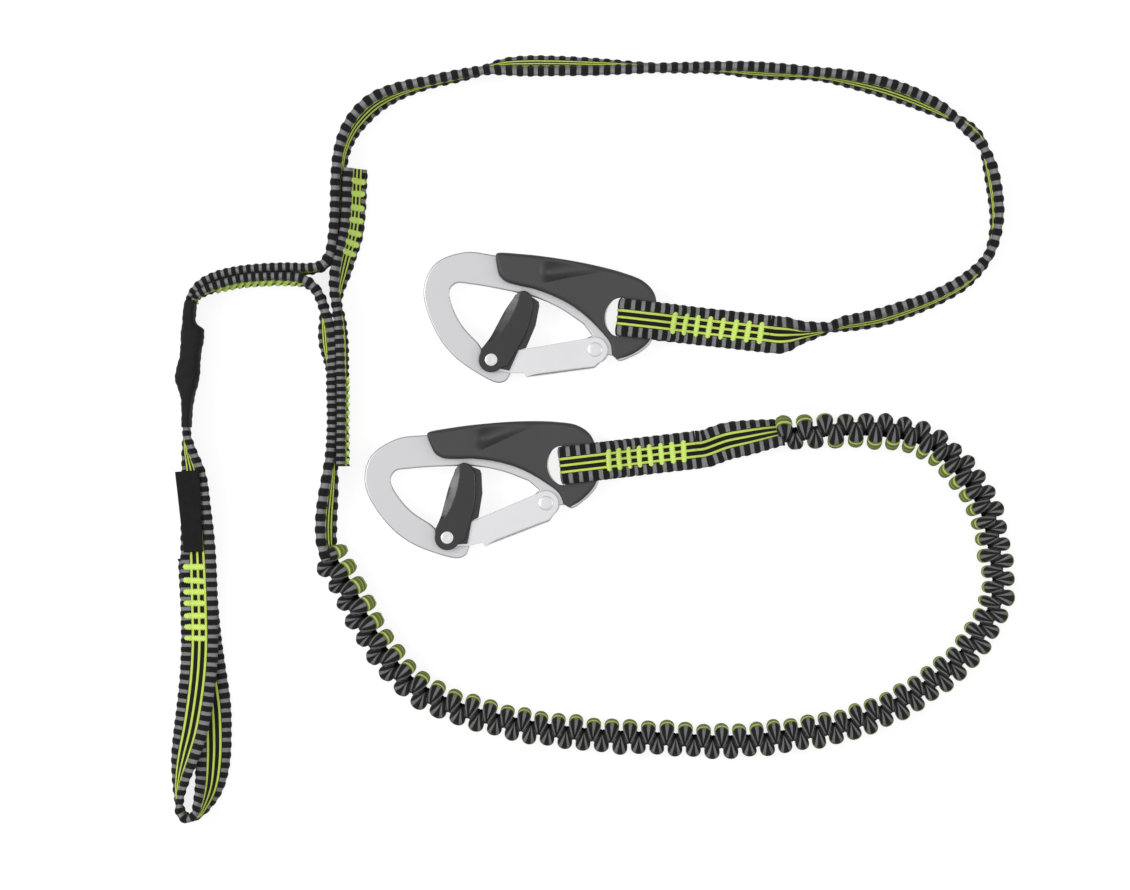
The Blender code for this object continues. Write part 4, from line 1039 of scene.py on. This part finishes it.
def plate(name, loops, low, high, edge=0.3, rim=0.3, cells=None, guides=None):
    """A plate between two heights with its edges rounded.

    Each outline is carried round a quarter turn into both faces: at angle a it is drawn in by edge
    times 1 - cos a, or by less at tight corners, and lowered from the face by edge times 1 - sin a.
    Holes have rim in place of edge.
    """
    top, bottom = level(high), level(low)
    steps = [(1 + FACE_RING, 0.0)]
    steps += [(1 - math.cos(a), 1 - math.sin(a)) for a in np.radians(np.linspace(90, 0, 6))]
    loops = [np.asarray(loop, float) for loop in loops]
    vertices, faces, rings, lowest, highest, first = [], [], [], [], [], 0
    for number, loop in enumerate(loops):
        into = outward(loop) * (1 if number else -1)
        rounding = rim if number else edge
        reach = into * drawn_in(loop, into, rounding, loops[:number] + loops[number + 1:])
        rows = []
        for height, sign, order in ((bottom, 1, steps), (top, -1, steps[::-1])):
            for inward, drop in order:
                plan = loop + reach * inward
                rows.append(np.column_stack((plan, height(plan) + sign * np.multiply(rounding, drop))))
        rings.append(plan)
        vertices.append(np.vstack(rows))
        faces += tube_faces(len(rows), len(loop), first).tolist()
        lowest += range(first, first + len(loop))
        first += len(rows) * len(loop)
        highest += range(first - len(loop), first)
    triangles, extra = triangulated(rings, cells, guides)
    for height, ids, order in ((top, highest, 1), (bottom, lowest, -1)):
        vertices.append(np.column_stack((extra, height(extra))))
        index = np.array(ids + list(range(first, first + len(extra))))
        first += len(extra)
        faces += index[triangles][:, ::order].tolist()
    return mesh_of(name, np.vstack(vertices), faces)


def combined(obj, tools, operation="DIFFERENCE"):
    """A piece cut by, or joined with, other pieces, which are used up."""
    for tool in tools:
        step = obj.modifiers.new("cut", "BOOLEAN")
        step.operation = operation
        step.object = tool
        step.solver = "EXACT"
    bpy.context.view_layer.update()
    made = bpy.data.meshes.new_from_object(obj.evaluated_get(bpy.context.evaluated_depsgraph_get()))
    whole = bmesh.new()
    whole.from_mesh(made)
    bmesh.ops.remove_doubles(whole, verts=whole.verts, dist=1e-6)
    bmesh.ops.dissolve_degenerate(whole, dist=1e-6, edges=whole.edges)
    whole.to_mesh(made)
    whole.free()
    obj.modifiers.clear()
    obj.data = made
    for tool in tools:
        bpy.data.objects.remove(tool)
    return obj


def turned_piece(name, profile, centre=(0.0, 0.0)):
    """A round piece: its profile of radius and height, carried round the Z axis."""
    angle = round_angles(48)
    radius, height = np.array(profile, float).T[..., None]
    grid = np.stack((centre[0] + radius * np.cos(angle), centre[1] + radius * np.sin(angle),
                     height + 0 * angle), axis=-1)
    return tubes(name, [grid])


def rod(radius, low, high, centre=(0.0, 0.0)):
    """A plain round bar, used as a cutter."""
    return turned_piece("rod", [(radius, low), (radius, high)], centre)


def riveted(name, radius, head, low, high, dish=0.0, slope=0.14):
    """A rivet with a flat head at each end, from low to high, and a shallow dish in each head."""
    half = [(0.05, high - dish), (0.25 * head, high - dish), (0.42 * head, high), (head - slope, high),
            (head - 0.25 * slope, high - 0.35 * slope), (head, high - slope), (head, low), (radius, low)]
    return turned_piece(name, [(r, -z) for r, z in half] + half[::-1])


def cover_height(points):
    """The cover's upper face: a smooth step down from the spine to the eye, less the thumb's recess.

    Behind the crease the recess sinks by a quarter of a sine over the wall and then runs out in a
    smooth step; along the crease it grows shallower with the root of the way left.
    """
    x, y = points.T
    height = EYE_HALF + (COVER_HALF - EYE_HALF) * (1 - ease(x, -24.0, 9.0))
    behind = y - looked_up(x, CREASE)
    share = np.clip((x + 25.0) / 42.0, 0, 1)
    wall = 5.0 * (1 - 0.65 * share)
    deep = np.sin(np.pi / 2 * np.clip(behind / wall, 0, 1)) * (1 - ease(behind, wall, wall + 9.0))
    return height - RECESS_DEEP * (height - 3.3) * (1 - share) ** 0.5 * ease(x, -30.0, -22.0) * deep


def frame_piece():
    """Forged bar with the heel's spring pocket."""
    hole = arc((0, 0), RIVET_R + GAP, 0, 352.5, 48)
    slot = slot_outline((SLOT_AT[0] + 1.5, SLOT_AT[1]), 0.9)
    body = plate("forged_bar", [frame_outline(), slot, hole], -FRAME_HALF, FRAME_HALF, FRAME_EDGE, 0.5)
    corner = [(-9.3, -9.3), (0, -9.3), (0, -1.0), (-9.3, -1.0)]
    mouth = plate("mouth", [corner], POCKET_FLOOR, 4.0, CUTTER_EDGE)
    return combined(body, [rod(5.2, POCKET_FLOOR, 4.0), mouth])


def cover_piece():
    """Moulded grip, open where the bar shows and at the webbing slot."""
    outline = np.vstack((smooth(COVER_TOP, 1.0), smooth(COVER_LOW, 1.0)))
    x = np.arange(-29.5, 17.5, 0.5)
    crease = looked_up(x, CREASE)
    guides = np.vstack([np.column_stack((x, crease + off)) for off in (-0.4, 0.0, 0.45, 0.9, 1.5, 2.3, 3.2)])
    body = plate("moulded_grip", [outline, slot_outline(SLOT_AT)], lambda points: -cover_height(points),
                 cover_height, COVER_EDGE, 0.6, cells=0.9, guides=guides)
    bar = frame_outline(2.0)
    bar = plate("bar", [bar + GAP * outward(bar)], -FRAME_HALF - GAP, FRAME_HALF + GAP, CUTTER_EDGE)
    return combined(body, [bar])


def gate_piece():
    """Folded sheet gate: two cheeks and the web, whose fold is rounded along the outer edge."""
    edge = np.vstack((arc((0, 0), 6.4, -44, 102, 40), [(-35.3, 0.4), (-46.0, -0.8)],
                      arc(LEVER_PIN, 4.8, 78, 258, 40), [(-44.1, -12.1), (-36.7, -12.1)]))
    web = np.linspace((-35.7, -14.4), (-0.8, -9.8), 30)
    end = np.linspace((0.2, -9.3), (4.2, -5.4), 8)
    fold = np.concatenate((np.full(len(edge), 0.2), [0.7], np.full(29, 1.7), np.full(7, 1.2), [0.4]))
    body = plate("folded_gate", [np.vstack((edge, web, end))], -GATE_OUT, GATE_OUT, fold)
    inner = np.vstack((arc((0, 0), 9.0, -55, 102, 20), [(-35.3, 4.0), (-62.0, 4.0), (-62.0, -16.0),
                                                        (-37.0, -16.0), (-35.9, -13.0), (-0.9, -8.5)]))
    room = plate("room", [inner], -GATE_IN, GATE_IN, CUTTER_EDGE)
    return combined(body, [room, rod(RIVET_R + GAP, -5.0, 5.0), rod(PIN_R + 0.1, -5.0, 5.0, LEVER_PIN)])


# Lever outline, from its pin
LEAF = [
    (8.6, -3.2), (13.4, 5), (16.8, 10.8), (19.4, 17.8), (21.2, 25), (21.7, 30.4), (20.2, 34),
    (17, 35.7), (13.9, 34.6), (11.4, 31.6), (7.4, 26), (2.6, 17.2), (-0.6, 11.4), (-5.4, 5.2)
]
FACET = [
    (-2.6, 8.2), (2, 10.9), (5.6, 14.6), (9.4, 20.1), (12.4, 25.7), (14.2, 30.2), (15.2, 35)
]
LEVER_WEB = [(12.2, 33.8), (7.4, 26.0), (2.6, 17.2), (-0.6, 11.4)]
FLANGE_RIGHT = [(9.4, -5.6), (14.3, 5.3), (18.0, 6.2), (23.0, 18.0), (24.9, 28.0)]
FLANGE_ROOT = [(15.5, 31.0), (9.0, 16.0), (3.5, 1.0), (3.0, -4.4)]
LEVER_REACH = 39.8


def lever_height(points):
    """The leaf's face, which falls away beyond the facet's line towards the left edge."""
    x, y = points.T
    beyond = 0.83 * (looked_up(y, [p[::-1] for p in FACET]) - x)
    return LEVER_OUT - 0.40 * np.clip(beyond, 0, 4) * ease(y, 7.0, 11.0)


def lever_piece():
    """Locking lever: a raised leaf above and below, each with a lower flange, and the trigger's web.

    The lands are plates joined to the web; the pin's bore and the spring's room are cut from them.
    """
    foot = arc((0, 0), 6.5, 150, 318, 50)
    blade = smooth(LEAF, 0.8)
    leaf = np.vstack((foot, blade))
    thin = lever_height(blade) < LEVER_OUT - 0.1
    edge = np.concatenate((np.full(len(foot), 0.45), np.where(thin, 0.3, 0.8)))
    line = smooth(FACET, 0.6)
    shape = {"edge": edge, "cells": 1.2, "guides": np.vstack((line, line + (0.5, -0.3), line - (0.5, -0.3)))}
    flange = np.vstack((FLANGE_RIGHT, arc((0, 0), LEVER_REACH - 1.0, 50.5, 56.5, 8), FLANGE_ROOT))
    near, far = LEVER_IN + 0.1, LEVER_IN + LEVER_FLANGE
    lands = [plate("land", [leaf], LEVER_IN, lever_height, **shape),
             plate("land", [leaf], lambda points: -lever_height(points), -LEVER_IN, **shape),
             plate("flange", [flange], near, far), plate("flange", [flange], -far, -near)]
    outer = smooth(LEVER_WEB, 1.2)
    inner = outer + np.array((2.2, -1.0))
    inner[0] *= np.linalg.norm(LEVER_WEB[0]) / np.linalg.norm(inner[0])
    web = plate("trigger_lever", [np.vstack((outer + np.array((0.35, -0.15)), inner[::-1]))],
                -LEVER_IN - 0.6, LEVER_IN + 0.6, 0.1)
    body = combined(web, lands, "UNION")
    return combined(body, [rod(PIN_R + GAP, -LEVER_OUT - 1, LEVER_OUT + 1),
                           rod(4.6, -LEVER_IN - 1.8, -LEVER_IN + 0.2)])


def set_on(obj, hook, name, origin):
    """A copy of a piece, moved to where the hook lies, as its own object at the scene's origin."""
    mesh = obj.data.copy()
    place = np.empty(len(mesh.vertices) * 3, np.float32)
    mesh.vertices.foreach_get("co", place)
    moved = hook.placed(place.reshape(-1, 3) / MM, origin) * MM
    mesh.vertices.foreach_set("co", moved.astype(np.float32).ravel())
    mesh.shade_smooth()
    mesh.set_sharp_from_angle(angle=math.radians(SHARP_EDGE))
    return shown(name, mesh)


def hooks():
    """Both locking hooks, piece by piece; their springs stay as they are."""
    rivet = riveted("rivet", RIVET_R, RIVET_HEAD_R, GATE_OUT + 0.04, GATE_OUT + 0.7, slope=0.5)
    pin = riveted("pin", PIN_R, PIN_HEAD_R, LEVER_OUT + 0.1, LEVER_OUT + 0.75, dish=0.1)
    pieces = ((frame_piece(), "frame", "tether", STEEL, "forged_steel"),
              (cover_piece(), "cover", "tether", COVER, "cover_plastic"),
              (rivet, "gate_rivet", "tether", RIVET, "rivet_steel"),
              (gate_piece(), "gate", "gate_body", SHEET, "gate_steel"),
              (pin, "lever_pin", "gate_body", RIVET, "rivet_steel"),
              (lever_piece(), "lever", "lever_body", LEVER, "lever_plastic"))
    for name in ("hook_1", "hook_2"):
        hook = Hook(name)
        for piece, part, body, look, slot in pieces:
            origin = LEVER_PIN if part.startswith("lever") else (0.0, 0.0)
            made = set_on(piece, hook, f"{name}_{piece.name}", origin)
            owner = body if body == "tether" else f"{name}_{body}"
            finished(made, owner, look, slot, f"{name}_{part}")
        for part in ("gate_spring", "lever_spring"):
            node = frame["nodes"][f"{name}_{part}"]
            node.data.materials.clear()
            node.data.materials.append(SPRING)
    for piece, *_ in pieces:
        bpy.data.objects.remove(piece)


studio()
webbing()
hooks()
